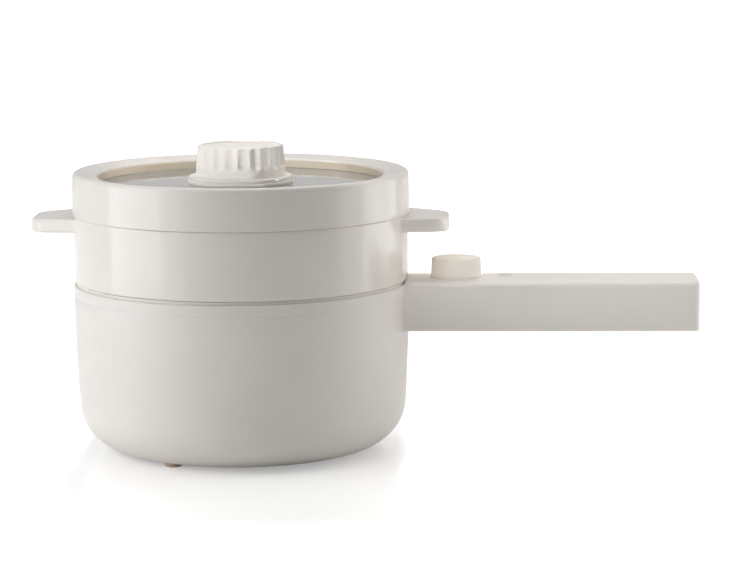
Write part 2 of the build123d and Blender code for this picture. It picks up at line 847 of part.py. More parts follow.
def heater_leads():
    """Two leads from the switch, through the window, to the element's terminals."""
    start = dial_place - switch_side / 2 - lug_length
    low = shell_bottom + heater_lead_low
    leads = []
    for (x, y), side in zip(terminal_places(), (-1, 1)):
        lane = side * heater_lead_offset
        terminal = Vector(x, y, low)
        turn = Vector(lead_turn_place, lane, low)
        leads.append(
            wire(
                (start, lane, lead_height),
                (lead_rise_place, lane, lead_height),
                (lead_rise_place, lane, shell_bottom + lead_turn_height),
                turn,
                terminal + (turn - terminal).normalized() * terminal_radius,
            )
        )
    return Compound(children=[lead.solid() for lead in leads])


def mains_leads():
    """Two straight leads from the inlet's pins to the switch."""
    end = dial_place + switch_side / 2 + lug_length
    sides = (-pin_spacing, pin_spacing)
    return Compound(children=[bar(end, pin_tail_end, y, lead_height, lead_radius) for y in sides])


def earth_lead():
    """Earth lead from the inlet's third pin to the heating plate."""
    level = cover_plate_top + earth_rise
    step = pin_tail_end - earth_start
    root = root_inside + root_boss_length
    return wire(
        (pin_tail_end, 0, handle_middle + pin_offset),
        (step, 0, handle_middle + pin_offset),
        (step - earth_cross, earth_side, handle_middle + pin_offset),
        (step - 2 * earth_cross, earth_side, level),
        (root + earth_cross, earth_side, level),
        (root, 0, level),
        (lead_rise_place, 0, level),
        (lead_rise_place, 0, shell_bottom + lead_turn_height),
        (lead_turn_place, 0, shell_bottom + earth_low),
        (earth_end_place, 0, shell_bottom + earth_low),
        (earth_end_place, 0, plate_bottom),
    )


def steamer_tab():
    """One carrying tab, tapered in plan and drooping slightly, on the +X side."""
    half = tab_width / 2
    root = sqrt((steamer_radius - steamer_wall) ** 2 - half**2)
    tip_half = tab_tip_width / 2
    plan = FilletPolyline(
        (root, -half),
        (tab_reach, -tip_half),
        (tab_reach, tip_half),
        (root, half),
        radius=[0, tab_corner, tab_corner, 0],
        close=True,
    )
    tab = extrude(make_face(plan), amount=tab_thickness)
    rims = tab.faces().sort_by(Axis.Z)
    tab = fillet(rims[0].edges() + rims[-1].edges(), tab_edge)
    place = Pos(steamer_radius, 0, steamer_top - tab_drop) * Rot(0, tab_droop, 0)
    tab = place * Pos(-steamer_radius, 0, -tab_thickness) * tab
    return tab - post(0, 0, steamer_bottom, steamer_top + overrun, steamer_radius - steamer_wall / 2)


def steamer_tier():
    """Steamer: a round wall, a neck that drops into the pot, a pierced floor and two tabs."""
    inside = steamer_radius - steamer_wall
    tier = turned(
        (0, steamer_neck_bottom),
        (steamer_neck_radius, steamer_neck_bottom, steamer_edge),
        (steamer_neck_radius, steamer_bottom),
        (steamer_radius, steamer_bottom, steamer_edge),
        (steamer_radius, steamer_top, steamer_edge / 2),
        (inside, steamer_top, steamer_edge / 2),
        (inside, steamer_bottom + steamer_wall, steamer_inner_edge),
        (steamer_neck_radius - steamer_wall, steamer_bottom + steamer_wall),
        (steamer_neck_radius - steamer_wall, steamer_neck_bottom + steamer_floor, steamer_inner_edge),
        (0, steamer_neck_bottom + steamer_floor),
    )
    rings = int((steamer_neck_radius - steamer_wall - steamer_inner_edge) / steam_hole_pitch)
    places = [(0, 0)]
    for ring in range(1, rings + 1):
        places += on_circle(ring * steam_hole_pitch, 6 * ring)
    drill = Circle(steam_hole_radius)
    holes = extrude(Sketch() + [Pos(x, y) * drill for x, y in places], amount=steamer_floor + 2 * overrun)
    tier -= Pos(0, 0, steamer_neck_bottom - overrun) * holes
    tab = steamer_tab()
    return tier + tab + Rot(0, 0, 180) * tab


def lid_ring():
    """Lid's outer moulding: a skirt, a dished top and a pocket for the seal."""
    skirt_inside = lid_radius - lid_skirt_wall
    pocket = gasket_radius + mould_gap
    pocket_out = pocket + pocket_wall
    slope = lid_dish / (lid_radius - lid_taper - lid_inner_radius)
    pocket_bottom = gasket_bottom - retainer_plate / 2
    return turned(
        (lid_radius, lid_bottom),
        (lid_radius - lid_taper, lid_top, lid_edge),
        (lid_inner_radius, lid_inner_top, lid_lip_edge),
        (lid_inner_radius, gasket_top, lid_inner_edge),
        (pocket, gasket_top),
        (pocket, pocket_bottom),
        (pocket_out, pocket_bottom),
        (pocket_out, lid_inner_top + slope * (pocket_out - lid_inner_radius) - lid_plate),
        (skirt_inside, lid_inner_top + slope * (skirt_inside - lid_inner_radius) - lid_plate),
        (skirt_inside, lid_bottom),
    )


def lid_gasket():
    """Channel-shaped seal round the glass."""
    return turned(
        (gasket_inner_radius, glass_top),
        (gasket_inner_radius, gasket_top),
        (gasket_radius, gasket_top),
        (gasket_radius, gasket_bottom),
        (gasket_inner_radius, gasket_bottom),
        (gasket_inner_radius, glass_bottom),
        (glass_radius, glass_bottom),
        (glass_radius, glass_top),
    )


def lid_retainer():
    """Lid's inner moulding: it holds the seal up and centres the lid in the tier."""
    inner = lid_inner_radius + retainer_reach
    step_in = gasket_radius
    outer = lid_radius - lid_skirt_wall - mould_gap
    step = gasket_bottom - retainer_plate / 2
    under = step - retainer_plate
    skirt_out = steamer_radius - steamer_wall - lift_gap
    skirt_in = skirt_out - skirt_wall
    skirt_bottom = lid_bottom - skirt_depth
    return turned(
        (inner, under),
        (inner, gasket_bottom),
        (step_in, gasket_bottom),
        (step_in, step),
        (outer, step),
        (outer, under),
        (skirt_out, under),
        (skirt_out, skirt_bottom, skirt_edge),
        (skirt_in, skirt_bottom, skirt_edge),
        (skirt_in, under),
    )


def lid_glass():
    """Glass disc with a hole for the knob's screw."""
    return turned(
        (glass_hole, glass_bottom),
        (glass_hole, glass_top),
        (glass_radius, glass_top, glass_edge),
        (glass_radius, glass_bottom, glass_edge),
    )


def knob_base():
    """Round flange between the glass and the knob, with a stepped edge."""
    bore = knob_screw_radius + screw_gap
    upper = knob_base_radius - knob_base_step
    return turned(
        (bore, glass_top),
        (knob_base_radius, glass_top),
        (knob_base_radius, glass_top + knob_base_lip),
        (upper, glass_top + knob_base_lip),
        (upper, knob_base_top, knob_base_edge),
        (bore, knob_base_top),
    )


def lid_knob():
    """Hollow knob with scalloped sides and a dished top."""
    rim_inside = knob_top_radius - knob_rim
    waist = knob_base_top + knob_foot_height
    knob = turned(
        (0, knob_base_top),
        (knob_foot_radius, knob_base_top),
        (knob_radius, waist),
        (knob_top_radius, knob_top, knob_edge),
        (rim_inside, knob_top),
        (rim_inside - knob_dish, knob_top - knob_dish),
        (0, knob_top - knob_dish),
    )
    hollow_top = knob_base_top + knob_hollow_depth
    knob -= post(0, 0, knob_base_top - overrun, hollow_top, knob_hollow_radius)
    knob += post(0, 0, knob_base_top, knob_top - 2 * knob_dish, knob_boss_radius)
    pilot_top = glass_bottom - washer_thickness + knob_screw_length
    knob -= post(0, 0, knob_base_top - overrun, pilot_top, knob_screw_radius + screw_gap)
    centre = knob_top_radius + scallop_radius - scallop_depth
    rise = sqrt(scallop_radius**2 - (centre - knob_radius) ** 2)
    low = knob_base_top + scallop_start + rise
    for x, y in on_circle(centre, scallop_count):
        knob -= post(x, y, low, knob_top + overrun, scallop_radius) + Pos(x, y, low) * Sphere(scallop_radius)
    return knob


def knob_washer():
    """Washer under the glass."""
    bottom = glass_bottom - washer_thickness
    return turned(
        (knob_screw_radius + screw_gap, bottom),
        (knob_screw_radius + screw_gap, glass_bottom),
        (washer_radius, glass_bottom),
        (washer_radius, bottom),
    )


def knob_screw():
    """Screw that clamps the knob, its base and the washer to the glass."""
    seat = glass_bottom - washer_thickness
    head = post(0, 0, seat - knob_head_height, seat, knob_head_radius)
    return head + post(0, 0, seat, seat + knob_screw_length, knob_screw_radius)


pieces = (
    outer_shell,
    rim_collar,
    inner_pot,
    heating_plate,
    heating_element,
    thermostat,
    thermal_fuse,
    fuse_clip,
    support_pillars,
    heat_shield,
    base_cover,
    base_screws,
    rubber_feet,
    handle_body,
    handle_bottom_cover,
    cover_screws,
    handle_clamps,
    handle_screws,
    handle_end_cap,
    power_inlet,
    inlet_pins,
    rotary_switch,
    switch_nut,
    dial_shaft,
    control_dial,
    indicator_lens,
    control_board,
    board_screws,
    indicator_led,
    heater_leads,
    mains_leads,
    earth_lead,
    steamer_tier,
    lid_ring,
    lid_retainer,
    lid_gasket,
    lid_glass,
    knob_base,
    lid_knob,
    knob_washer,
    knob_screw,
)

os.makedirs("parts", exist_ok=True)
for piece in pieces:
    export_step(piece(), f"parts/{piece.__name__}.step")
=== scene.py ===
"""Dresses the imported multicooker: smooth surfaces, finishes, studio light and camera."""

import logging
import math
from dataclasses import dataclass
from enum import Enum
from typing import Sequence

import bpy
import numpy as np
from mathutils import Matrix, Vector
from mathutils.geometry import delaunay_2d_cdt


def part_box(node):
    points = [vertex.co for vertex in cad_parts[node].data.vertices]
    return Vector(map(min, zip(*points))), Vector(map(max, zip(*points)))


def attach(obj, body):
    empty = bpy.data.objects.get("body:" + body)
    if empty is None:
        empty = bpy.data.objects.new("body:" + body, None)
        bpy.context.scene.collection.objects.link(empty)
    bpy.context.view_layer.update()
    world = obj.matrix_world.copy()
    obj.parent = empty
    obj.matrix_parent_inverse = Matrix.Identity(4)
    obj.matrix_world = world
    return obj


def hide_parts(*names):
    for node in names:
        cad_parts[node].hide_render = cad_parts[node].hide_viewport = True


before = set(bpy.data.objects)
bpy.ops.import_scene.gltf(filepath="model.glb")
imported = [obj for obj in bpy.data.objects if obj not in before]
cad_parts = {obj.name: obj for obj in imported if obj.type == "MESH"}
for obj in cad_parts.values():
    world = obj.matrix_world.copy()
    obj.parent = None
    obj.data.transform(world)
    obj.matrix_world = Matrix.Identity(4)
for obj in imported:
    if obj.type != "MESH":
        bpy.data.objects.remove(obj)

LOG = logging.getLogger("multicooker")
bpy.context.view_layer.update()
BYTE = 255
SRGB_LINEAR_BELOW, SRGB_SLOPE, SRGB_OFFSET, SRGB_POWER = 0.04045, 12.92, 0.055, 2.4
QUARTER = np.pi / 2
TINY = 1e-7
FAR = 1.0
SUPPORT = 0.4
SUPPORT_ROOM = 1 / 3
ARC_STEPS = 6
ROUND_SEGMENTS = 320
SMOOTH_ANGLE = 32.0
NOISE_SPAN = (0.3, 0.7)
EVEN = (1.0, 1.0, 1.0)
WHITE = (1.0, 1.0, 1.0)
PANEL_MIDDLE = 0.03
PANEL_REACH = 0.8
PANEL_SIZE = (0.28, 1.0)

Colour = tuple[float, float, float, float]
Triple = tuple[float, float, float]
Corner = tuple[float, ...]
Socket = bpy.types.NodeSocket
Feed = Socket | float | Sequence[float]


class Loop(Enum):
    """Whether the two ends of a grid direction are joined."""

    OPEN = False
    CLOSED = True


class Gloss(float, Enum):
    """Roughness of a moulded surface, from polished to textured."""

    POLISHED = 0.16
    SATIN = 0.46
    MATT = 0.6


class Pattern(Enum):
    """Kind of a finish's two-colour pattern."""

    NOISE = "noise"
    STRIPES = "stripes"


class Layer(Enum):
    """Which of a finish's two layers raises its relief."""

    PATTERN = "pattern"
    SKIN = "skin"


def ink(red: int, green: int, blue: int) -> Colour:
    """Colour as it looks on a screen, turned into linear light by the sRGB curve.

    Args:
        red: Red level, 0 to 255.
        green: Green level.
        blue: Blue level.

    Returns:
        Linear red, green and blue, and full opacity.
    """
    share = np.array([red, green, blue]) / BYTE
    curve = ((share + SRGB_OFFSET) / (1 + SRGB_OFFSET)) ** SRGB_POWER
    return (*np.where(share <= SRGB_LINEAR_BELOW, share / SRGB_SLOPE, curve).tolist(), 1.0)


def node_box(node: str) -> tuple[np.ndarray, np.ndarray]:
    """Box of a CAD node.

    Args:
        node: Node's name.

    Returns:
        Its lowest and highest corner, as arrays.
    """
    low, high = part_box(node)
    return np.array(low), np.array(high)


def unit(vectors: np.ndarray) -> np.ndarray:
    """Vectors scaled to length one.

    Args:
        vectors: Array whose last axis runs along each vector.

    Returns:
        Array of the same shape.
    """
    return vectors / np.linalg.norm(vectors, axis=-1, keepdims=True)


def angles(count: int) -> np.ndarray:
    """Even angles round the full turn.

    Args:
        count: How many.

    Returns:
        Angles in radians, from nothing on.
    """
    return np.linspace(0.0, 4 * QUARTER, count, endpoint=False)


def quarter(count: int) -> np.ndarray:
    """Even angles over a quarter turn.

    Args:
        count: How many.

    Returns:
        Angles in radians, with nothing and the quarter turn both included.
    """
    return np.linspace(0.0, QUARTER, count)


def circle(count: int) -> np.ndarray:
    """Points (cos a, sin a) of the unit circle, at even angles a.

    Args:
        count: How many.

    Returns:
        Array of points x 2.
    """
    return np.stack([np.cos(angles(count)), np.sin(angles(count))], axis=1)


@dataclass
class Surface:
    """Points and faces of a mesh; each array in faces holds faces of one corner count."""

    points: np.ndarray
    faces: list[np.ndarray]

    def __add__(self, other: "Surface") -> "Surface":
        """Both surfaces in one mesh."""
        shifted = [block + len(self.points) for block in other.faces]
        return Surface(np.vstack([self.points, other.points]), self.faces + shifted)

    def moved(self, x: float = 0.0, y: float = 0.0) -> "Surface":
        """The surface shifted along the floor."""
        return Surface(self.points + np.array([x, y, 0.0]), self.faces)

    def turned_about(self) -> "Surface":
        """The surface turned half a turn about the vertical axis."""
        return Surface(self.points * np.array([-1.0, -1.0, 1.0]), self.faces)

    def outward(self) -> "Surface":
        """Faces turned to point out of the enclosed volume.

        The volume is the sum over all triangles of a . (b x c) / 6, which is negative
        when the faces point inwards.

        Returns:
            The surface with outward faces.
        """
        volume = 0.0
        for block in self.faces:
            corner = self.points[block]
            volume += float((corner[:, :1] * np.cross(corner[:, 1:-1], corner[:, 2:])).sum())
        return self if volume > 0 else Surface(self.points, [block[:, ::-1] for block in self.faces])


def grid(points: np.ndarray, rows: Loop = Loop.OPEN, capped: bool = False) -> Surface:
    """Quads between the neighbours of a grid of points whose columns run round.

    Args:
        points: Array of rows x columns x 3.
        rows: Whether the last row joins the first.
        capped: Whether the first and the last row are each filled with one flat face.

    Returns:
        The surface, with outward faces where it is closed.
    """
    count, width = points.shape[:2]
    i = np.arange(count if rows is Loop.CLOSED else count - 1)
    a, b = np.meshgrid(i, np.arange(width), indexing="ij")
    row, next_row = a * width, (a + 1) % count * width
    beside = (b + 1) % width
    quads = np.stack([row + b, next_row + b, next_row + beside, row + beside], axis=-1)
    faces = [quads.reshape(-1, 4)]
    if capped:
        ring = np.arange(width)
        faces += [ring[None, :], (ring + (count - 1) * width)[None, ::-1]]
    return Surface(points.reshape(-1, 3), faces).outward()


def outline(corners: Sequence[Corner], steps: int = ARC_STEPS) -> np.ndarray:
    """Closed outline whose corners are rounded with arcs.

    Each corner is (across, up) or (across, up, rounding). An arc of the rounding touches both
    sides, and a support point stands a little way along each side, which keeps flats flat when shaded.

    Args:
        corners: Corners in order.
        steps: Steps along each arc.

    Returns:
        Array of points x 2.
    """
    spots = np.array([corner[:2] for corner in corners], float)
    rounding = np.array([corner[2] if len(corner) > 2 else 0.0 for corner in corners])
    back = unit(np.roll(spots, 1, axis=0) - spots)
    ahead = unit(np.roll(spots, -1, axis=0) - spots)
    half = np.arccos(np.clip((back * ahead).sum(axis=1), -1.0, 1.0)) / 2
    run = (rounding / np.tan(half))[:, None]
    start, end = spots + back * run, spots + ahead * run
    middle = spots + unit(back + ahead) * (rounding / np.sin(half))[:, None]
    turn = (np.pi - 2 * half)[:, None, None]
    share = np.linspace(0.0, 1.0, steps + 1)[None, :, None]
    first = np.sin((1 - share) * turn) * (start - middle)[:, None]
    second = np.sin(share * turn) * (end - middle)[:, None]
    arcs = middle[:, None] + (first + second) / np.sin(turn)
    room = SUPPORT_ROOM * np.linalg.norm(start - np.roll(end, 1, axis=0), axis=1)
    lead_in = start + back * np.minimum(SUPPORT * rounding, room)[:, None]
    lead_out = end + ahead * np.minimum(SUPPORT * rounding, np.roll(room, -1))[:, None]
    points = np.concatenate([lead_in[:, None], arcs, lead_out[:, None]], axis=1).reshape(-1, 2)
    return points[np.linalg.norm(points - np.roll(points, 1, axis=0), axis=1) > TINY]


def carried_round(radius: np.ndarray, height: np.ndarray, angle: np.ndarray) -> np.ndarray:
    """Points (r cos a, r sin a, z) for every row and angle.

    Args:
        radius: Radii r, one for each row, or for each row and angle.
        height: Heights z, one for each row.
        angle: Angles a.

    Returns:
        Array of rows x columns x 3.
    """
    across = radius * np.cos(angle)
    return np.stack([across, radius * np.sin(angle), np.broadcast_to(height, across.shape)], axis=-1)


def with_poles(rows: np.ndarray, first: float, last: float) -> Surface:
    """Closed rings of points, shut at both ends by fans to one point on the axis.

    Args:
        rows: Array of rings x columns x 3.
        first: Height of the first pole.
        last: Height of the last pole.

    Returns:
        Closed surface.
    """
    count, width = rows.shape[:2]
    body = grid(rows)
    ring = np.arange(width)
    beside = (ring + 1) % width
    foot, end = count * width, (count - 1) * width
    fans = [
        np.stack([np.full(width, foot), ring, beside], axis=1),
        np.stack([np.full(width, foot + 1), end + beside, end + ring], axis=1),
    ]
    quads = body.faces[0]
    if quads[0, 1] < quads[0, 0]:
        fans = [fan[:, ::-1] for fan in fans]
    poles = np.array([[0.0, 0.0, first], [0.0, 0.0, last]])
    return Surface(np.vstack([body.points, poles]), [quads, *fans]).outward()


def turned(section: np.ndarray, segments: int = ROUND_SEGMENTS) -> Surface:
    """Section carried round the vertical axis: (r cos a, r sin a, z) for every angle a.

    Args:
        section: Outline of (radius, height) points, closed and off the axis, or with both ends on it.
        segments: Steps round the axis.

    Returns:
        Closed ring, or closed solid with one point at each pole.
    """
    solid = section[0, 0] < TINY
    side = section[1:-1] if solid else section
    points = carried_round(side[:, :1], side[:, 1:], angles(segments))
    return with_poles(points, section[0, 1], section[-1, 1]) if solid else grid(points, Loop.CLOSED)


def rounded_loop(half_wide: np.ndarray, half_high: np.ndarray, rounding: float, steps: int = 5) -> np.ndarray:
    """Rounded rectangles of many sizes with matching points.

    Around each corner the point is (s(w - r) + r cos a, t(h - r) + r sin a), with s and t the
    corner's signs, and a support point on each side of the arc.

    Args:
        half_wide: Half widths, one for each loop.
        half_high: Half heights, one for each loop.
        rounding: Corner radius.
        steps: Steps along each arc.

    Returns:
        Array of loops x points x 2.
    """
    angle = np.arange(4)[:, None] * QUARTER + quarter(steps + 1)
    arc = rounding * np.stack([np.cos(angle), np.sin(angle)])
    lead = SUPPORT * rounding * np.stack([-np.sin(angle), np.cos(angle)])
    local = np.concatenate([arc[..., :1] - lead[..., :1], arc, arc[..., -1:] + lead[..., -1:]], axis=-1)
    signs = np.array([[1.0, -1.0, -1.0, 1.0], [1.0, 1.0, -1.0, -1.0]])
    signs = np.repeat(signs, local.shape[-1], axis=1)
    inner = np.stack([half_wide, half_high]) - rounding
    points = signs[:, None] * inner[..., None] + local.reshape(2, 1, -1)
    return np.moveaxis(points, 0, -1)


def along(places: np.ndarray, loops: np.ndarray) -> np.ndarray:
    """Loops of (y, z) points, each set at its place along X.

    Args:
        places: Places, one for each loop.
        loops: Array of loops x points x 2.

    Returns:
        Array of loops x points x 3.
    """
    ahead = np.broadcast_to(places[:, None, None], (*loops.shape[:2], 1))
    return np.concatenate([ahead, loops], axis=-1)


def root_flare(radius: float, steps: int = 5) -> tuple[np.ndarray, np.ndarray]:
    """Quarter round between a wall and what stands on it.

    Args:
        radius: Radius of the quarter round.
        steps: Steps along it.

    Returns:
        Distances from the wall, and how much wider the piece is there.
    """
    angle = quarter(steps + 1)
    return radius * (1 - np.cos(angle)), radius * (1 - np.sin(angle))


class NodeSheet:
    """A node tree, with short calls for the patterns that the finishes and the studio share."""

    def __init__(self, tree: bpy.types.NodeTree) -> None:
        """Takes over a tree."""
        self.tree = tree

    def feed(self, socket: Socket, value: Feed) -> None:
        """Links a pattern to an input, or sets a plain value on it.

        Args:
            socket: The input.
            value: An output to link, or a number, vector or colour.
        """
        if isinstance(value, Socket):
            self.tree.links.new(value, socket)
        else:
            socket.default_value = value

    def fill(self, node: bpy.types.Node, **values: Feed) -> bpy.types.Node:
        """Feeds a node's inputs by name.

        Args:
            node: The node.
            values: What each input gets; an underscore in a name stands for a space.

        Returns:
            The same node.
        """
        for name, value in values.items():
            self.feed(node.inputs[name.replace("_", " ")], value)
        return node

    def node(self, kind: str, **values: Feed) -> bpy.types.Node:
        """New node of a kind, with its inputs fed."""
        return self.fill(self.tree.nodes.new(f"ShaderNode{kind}"), **values)

    def place(self) -> Socket:
        """Object coordinates."""
        return self.node("TexCoord").outputs["Object"]

    def math(self, operation: str, *terms: Socket | float) -> Socket:
        """Result of a sum on one or two values.

        Args:
            operation: Name of the operation, as in MAXIMUM.
            terms: Outputs or plain numbers.

        Returns:
            The result.
        """
        node = self.node("Math")
        node.operation = operation
        for term, socket in zip(terms, node.inputs):
            self.feed(socket, term)
        return node.outputs[0]

    def noise(self, scale: float, detail: float, stretch: Triple = EVEN) -> Socket:
        """Noise in the piece's own space.

        Args:
            scale: Features per metre.
            detail: Octaves of finer noise.
            stretch: Factors along X, Y and Z.

        Returns:
            The noise's value, mostly within NOISE_SPAN.
        """
        place = self.node("Mapping", Vector=self.place(), Scale=stretch).outputs["Vector"]
        return self.node("TexNoise", Vector=place, Scale=scale, Detail=detail).outputs["Fac"]

    def stripes(self, scale: float) -> Socket:
        """Even slanting bands in the piece's own space.

        Args:
            scale: The wave texture's scale.

        Returns:
            The bands' value, 0 to 1.
        """
        node = self.node("TexWave", Vector=self.place(), Scale=scale)
        node.bands_direction = "DIAGONAL"
        return node.outputs["Fac"]

    def ramp(self, value: Socket, stops: Sequence[float], colours: Sequence[Colour]) -> Socket:
        """Colours along a value.

        Args:
            value: Pattern to colour.
            stops: Positions of the two colours.
            colours: The two colours.

        Returns:
            The colour.
        """
        node = self.node("ValToRGB", Fac=value)
        for element, position, colour in zip(node.color_ramp.elements, stops, colours):
            element.position, element.color = position, colour
        return node.outputs["Color"]

    def spread(
        self, value: Socket, low: float, high: float, span: tuple[float, float] = NOISE_SPAN
    ) -> Socket:
        """A pattern's span, by default a noise's usual one, stretched over low to high."""
        ends = {"From_Min": span[0], "From_Max": span[1], "To_Min": low, "To_Max": high}
        return self.node("MapRange", Value=value, **ends).outputs["Result"]


@dataclass(frozen=True)
class Finish:
    """A finish on one Principled shader: a two-colour pattern, an uneven gloss and a fine relief.

    The pattern runs from the shade to the tint between its stops. The skin is a finer noise that
    moves the roughness between rough less and rough plus its play. Without a skin of its own the
    pattern does that too. The relief is depth metres high.
    """

    name: str
    tint: Colour
    shade: Colour
    rough: float
    play: tuple[float, float] = (0.0, 0.15)
    pattern: Pattern = Pattern.NOISE
    scale: float = 22.0
    detail: float = 3.0
    stretch: Triple = EVEN
    stops: tuple[float, float] = NOISE_SPAN
    skin: float = 0.0
    skin_detail: float = 2.0
    depth: float = 0.00002
    strength: float = 0.2
    relief: Layer = Layer.SKIN
    sockets: tuple[tuple[str, float], ...] = ()

    def make(self) -> bpy.types.Material:
        """Builds the finish's node tree.

        Returns:
            The material.
        """
        material = bpy.data.materials.new(self.name)
        material.use_nodes = True
        sheet = NodeSheet(material.node_tree)
        shader = sheet.tree.nodes["Principled BSDF"]
        if self.pattern is Pattern.NOISE:
            pattern = sheet.noise(self.scale, self.detail, self.stretch)
        else:
            pattern = sheet.stripes(self.scale)
        skin = sheet.noise(self.skin, self.skin_detail) if self.skin else pattern
        colour = sheet.ramp(pattern, self.stops, (self.shade, self.tint))
        rough = sheet.spread(skin, self.rough - self.play[0], self.rough + self.play[1])
        sheet.fill(shader, Base_Color=colour, Roughness=rough, **dict(self.sockets))
        if self.strength:
            height = skin if self.relief is Layer.SKIN else pattern
            bump = sheet.node("Bump", Height=height, Distance=self.depth, Strength=self.strength)
            sheet.fill(shader, Normal=bump.outputs["Normal"])
        return material


@dataclass(frozen=True)
class MouldedPlastic(Finish):
    """Moulded plastic: faint clouding in its colour, a fine grain in its gloss and surface."""

    play: tuple[float, float] = (0.04, 0.05)
    skin: float = 1600.0
    strength: float = 0.12
    sockets: tuple[tuple[str, float], ...] = (("IOR", 1.5),)


@dataclass(frozen=True)
class SoftRubber(Finish):
    """Silicone or rubber: matt, with a soft sheen and a slightly uneven skin."""

    play: tuple[float, float] = (0.06, 0.08)
    scale: float = 60.0
    skin: float = 900.0
    skin_detail: float = 3.0
    depth: float = 0.00004
    sockets: tuple[tuple[str, float], ...] = (("IOR", 1.42), ("Sheen Weight", 0.08))


@dataclass(frozen=True)
class ClearGlass(Finish):
    """Tempered glass, clear with a trace of tint and faint polishing haze."""

    play: tuple[float, float] = (0.0, 0.03)
    scale: float = 45.0
    detail: float = 4.0
    strength: float = 0.0
    sockets: tuple[tuple[str, float], ...] = (("IOR", 1.5), ("Transmission Weight", 0.8))


@dataclass(frozen=True)
class CeramicCoat(Finish):
    """Sprayed ceramic coating: pale, with fine specks of its shade, and slightly orange-peeled."""

    play: tuple[float, float] = (0.02, 0.02)
    scale: float = 1500.0
    detail: float = 1.0
    stops: tuple[float, float] = (0.27, 0.33)
    skin: float = 260.0
    strength: float = 0.1
    sockets: tuple[tuple[str, float], ...] = (("IOR", 1.5),)


@dataclass(frozen=True)
class BareMetal(Finish):
    """Bare metal with a drawn or cast grain."""

    play: tuple[float, float] = (0.08, 0.1)
    scale: float = 240.0
    detail: float = 4.0
    stretch: Triple = (1.0, 1.0, 12.0)
    strength: float = 0.15
    sockets: tuple[tuple[str, float], ...] = (("Metallic", 1.0),)


@dataclass(frozen=True)
class BoardLaminate(Finish):
    """Circuit board: green resist over a fine cloth weave."""

    pattern: Pattern = Pattern.STRIPES
    scale: float = 900.0
    stops: tuple[float, float] = (0.2, 0.8)
    skin: float = 500.0
    depth: float = 0.00001
    relief: Layer = Layer.PATTERN


@dataclass(frozen=True)
class WireSleeve(Finish):
    """Soft plastic sleeve of a lead, with bands of its two colours."""

    pattern: Pattern = Pattern.STRIPES
    scale: float = 300.0
    stops: tuple[float, float] = (0.45, 0.55)
    skin: float = 1200.0


FINISHES = {
    "shell_plastic": MouldedPlastic("satin_ivory", ink(238, 232, 225), ink(234, 228, 221), Gloss.SATIN),
    "tier_plastic": MouldedPlastic(
        "gloss_ivory", ink(238, 231, 223), ink(235, 228, 220), Gloss.POLISHED, skin=1200.0, depth=0.00001
    ),
    "knob_plastic": MouldedPlastic("knob_ivory", ink(226, 221, 214), ink(222, 217, 210), Gloss.MATT),
    "dial_plastic": MouldedPlastic("dial_ivory", ink(246, 240, 228), ink(242, 236, 224), Gloss.MATT),
    "inner_plastic": MouldedPlastic("inner_ivory", ink(230, 224, 218), ink(225, 219, 213), Gloss.SATIN),
    "under_plastic": MouldedPlastic("base_ivory", ink(222, 216, 210), ink(216, 210, 204), Gloss.MATT),
    "socket_plastic": MouldedPlastic("socket_black", ink(34, 34, 35), ink(27, 27, 28), Gloss.SATIN),
    "pilot_lens": MouldedPlastic("lens_milk", ink(222, 220, 215), ink(214, 212, 207), Gloss.SATIN),
    "seal_silicone": SoftRubber("seal_tan", ink(226, 214, 192), ink(218, 205, 182), 0.5),
    "foot_rubber": SoftRubber("foot_brown", ink(204, 176, 156), ink(192, 164, 145), 0.62),
    "lid_glass": ClearGlass("lid_glass", ink(250, 249, 247), ink(246, 245, 243), 0.0),
    "pot_coating": CeramicCoat("ceramic_cream", ink(232, 226, 218), ink(222, 216, 208), 0.3),
    "heater_aluminium": BareMetal(
        "cast_aluminium", ink(205, 205, 204), ink(176, 176, 175), 0.45, stretch=EVEN
    ),
    "heater_steel": BareMetal("heater_steel", ink(150, 146, 140), ink(120, 116, 111), 0.4, stretch=EVEN),
    "bright_steel": BareMetal("bright_steel", ink(212, 212, 214), ink(186, 186, 189), 0.25),
    "contact_brass": BareMetal("contact_brass", ink(214, 180, 110), ink(186, 150, 84), 0.3),
    "board_laminate": BoardLaminate("board_green", ink(58, 112, 72), ink(44, 92, 58), 0.3),
    "lead_insulation": WireSleeve("lead_white", ink(216, 213, 208), ink(226, 224, 220), 0.4),
    "earth_insulation": WireSleeve("lead_earth", ink(226, 206, 70), ink(92, 150, 62), 0.4, scale=70.0),
}


def placed(name: str, data: bpy.types.ID) -> bpy.types.Object:
    """New object in the scene, at the origin.

    Args:
        name: Object's name.
        data: Its mesh, lamp or camera.

    Returns:
        The object.
    """
    made = bpy.data.objects.new(name, data)
    bpy.context.scene.collection.objects.link(made)
    return made


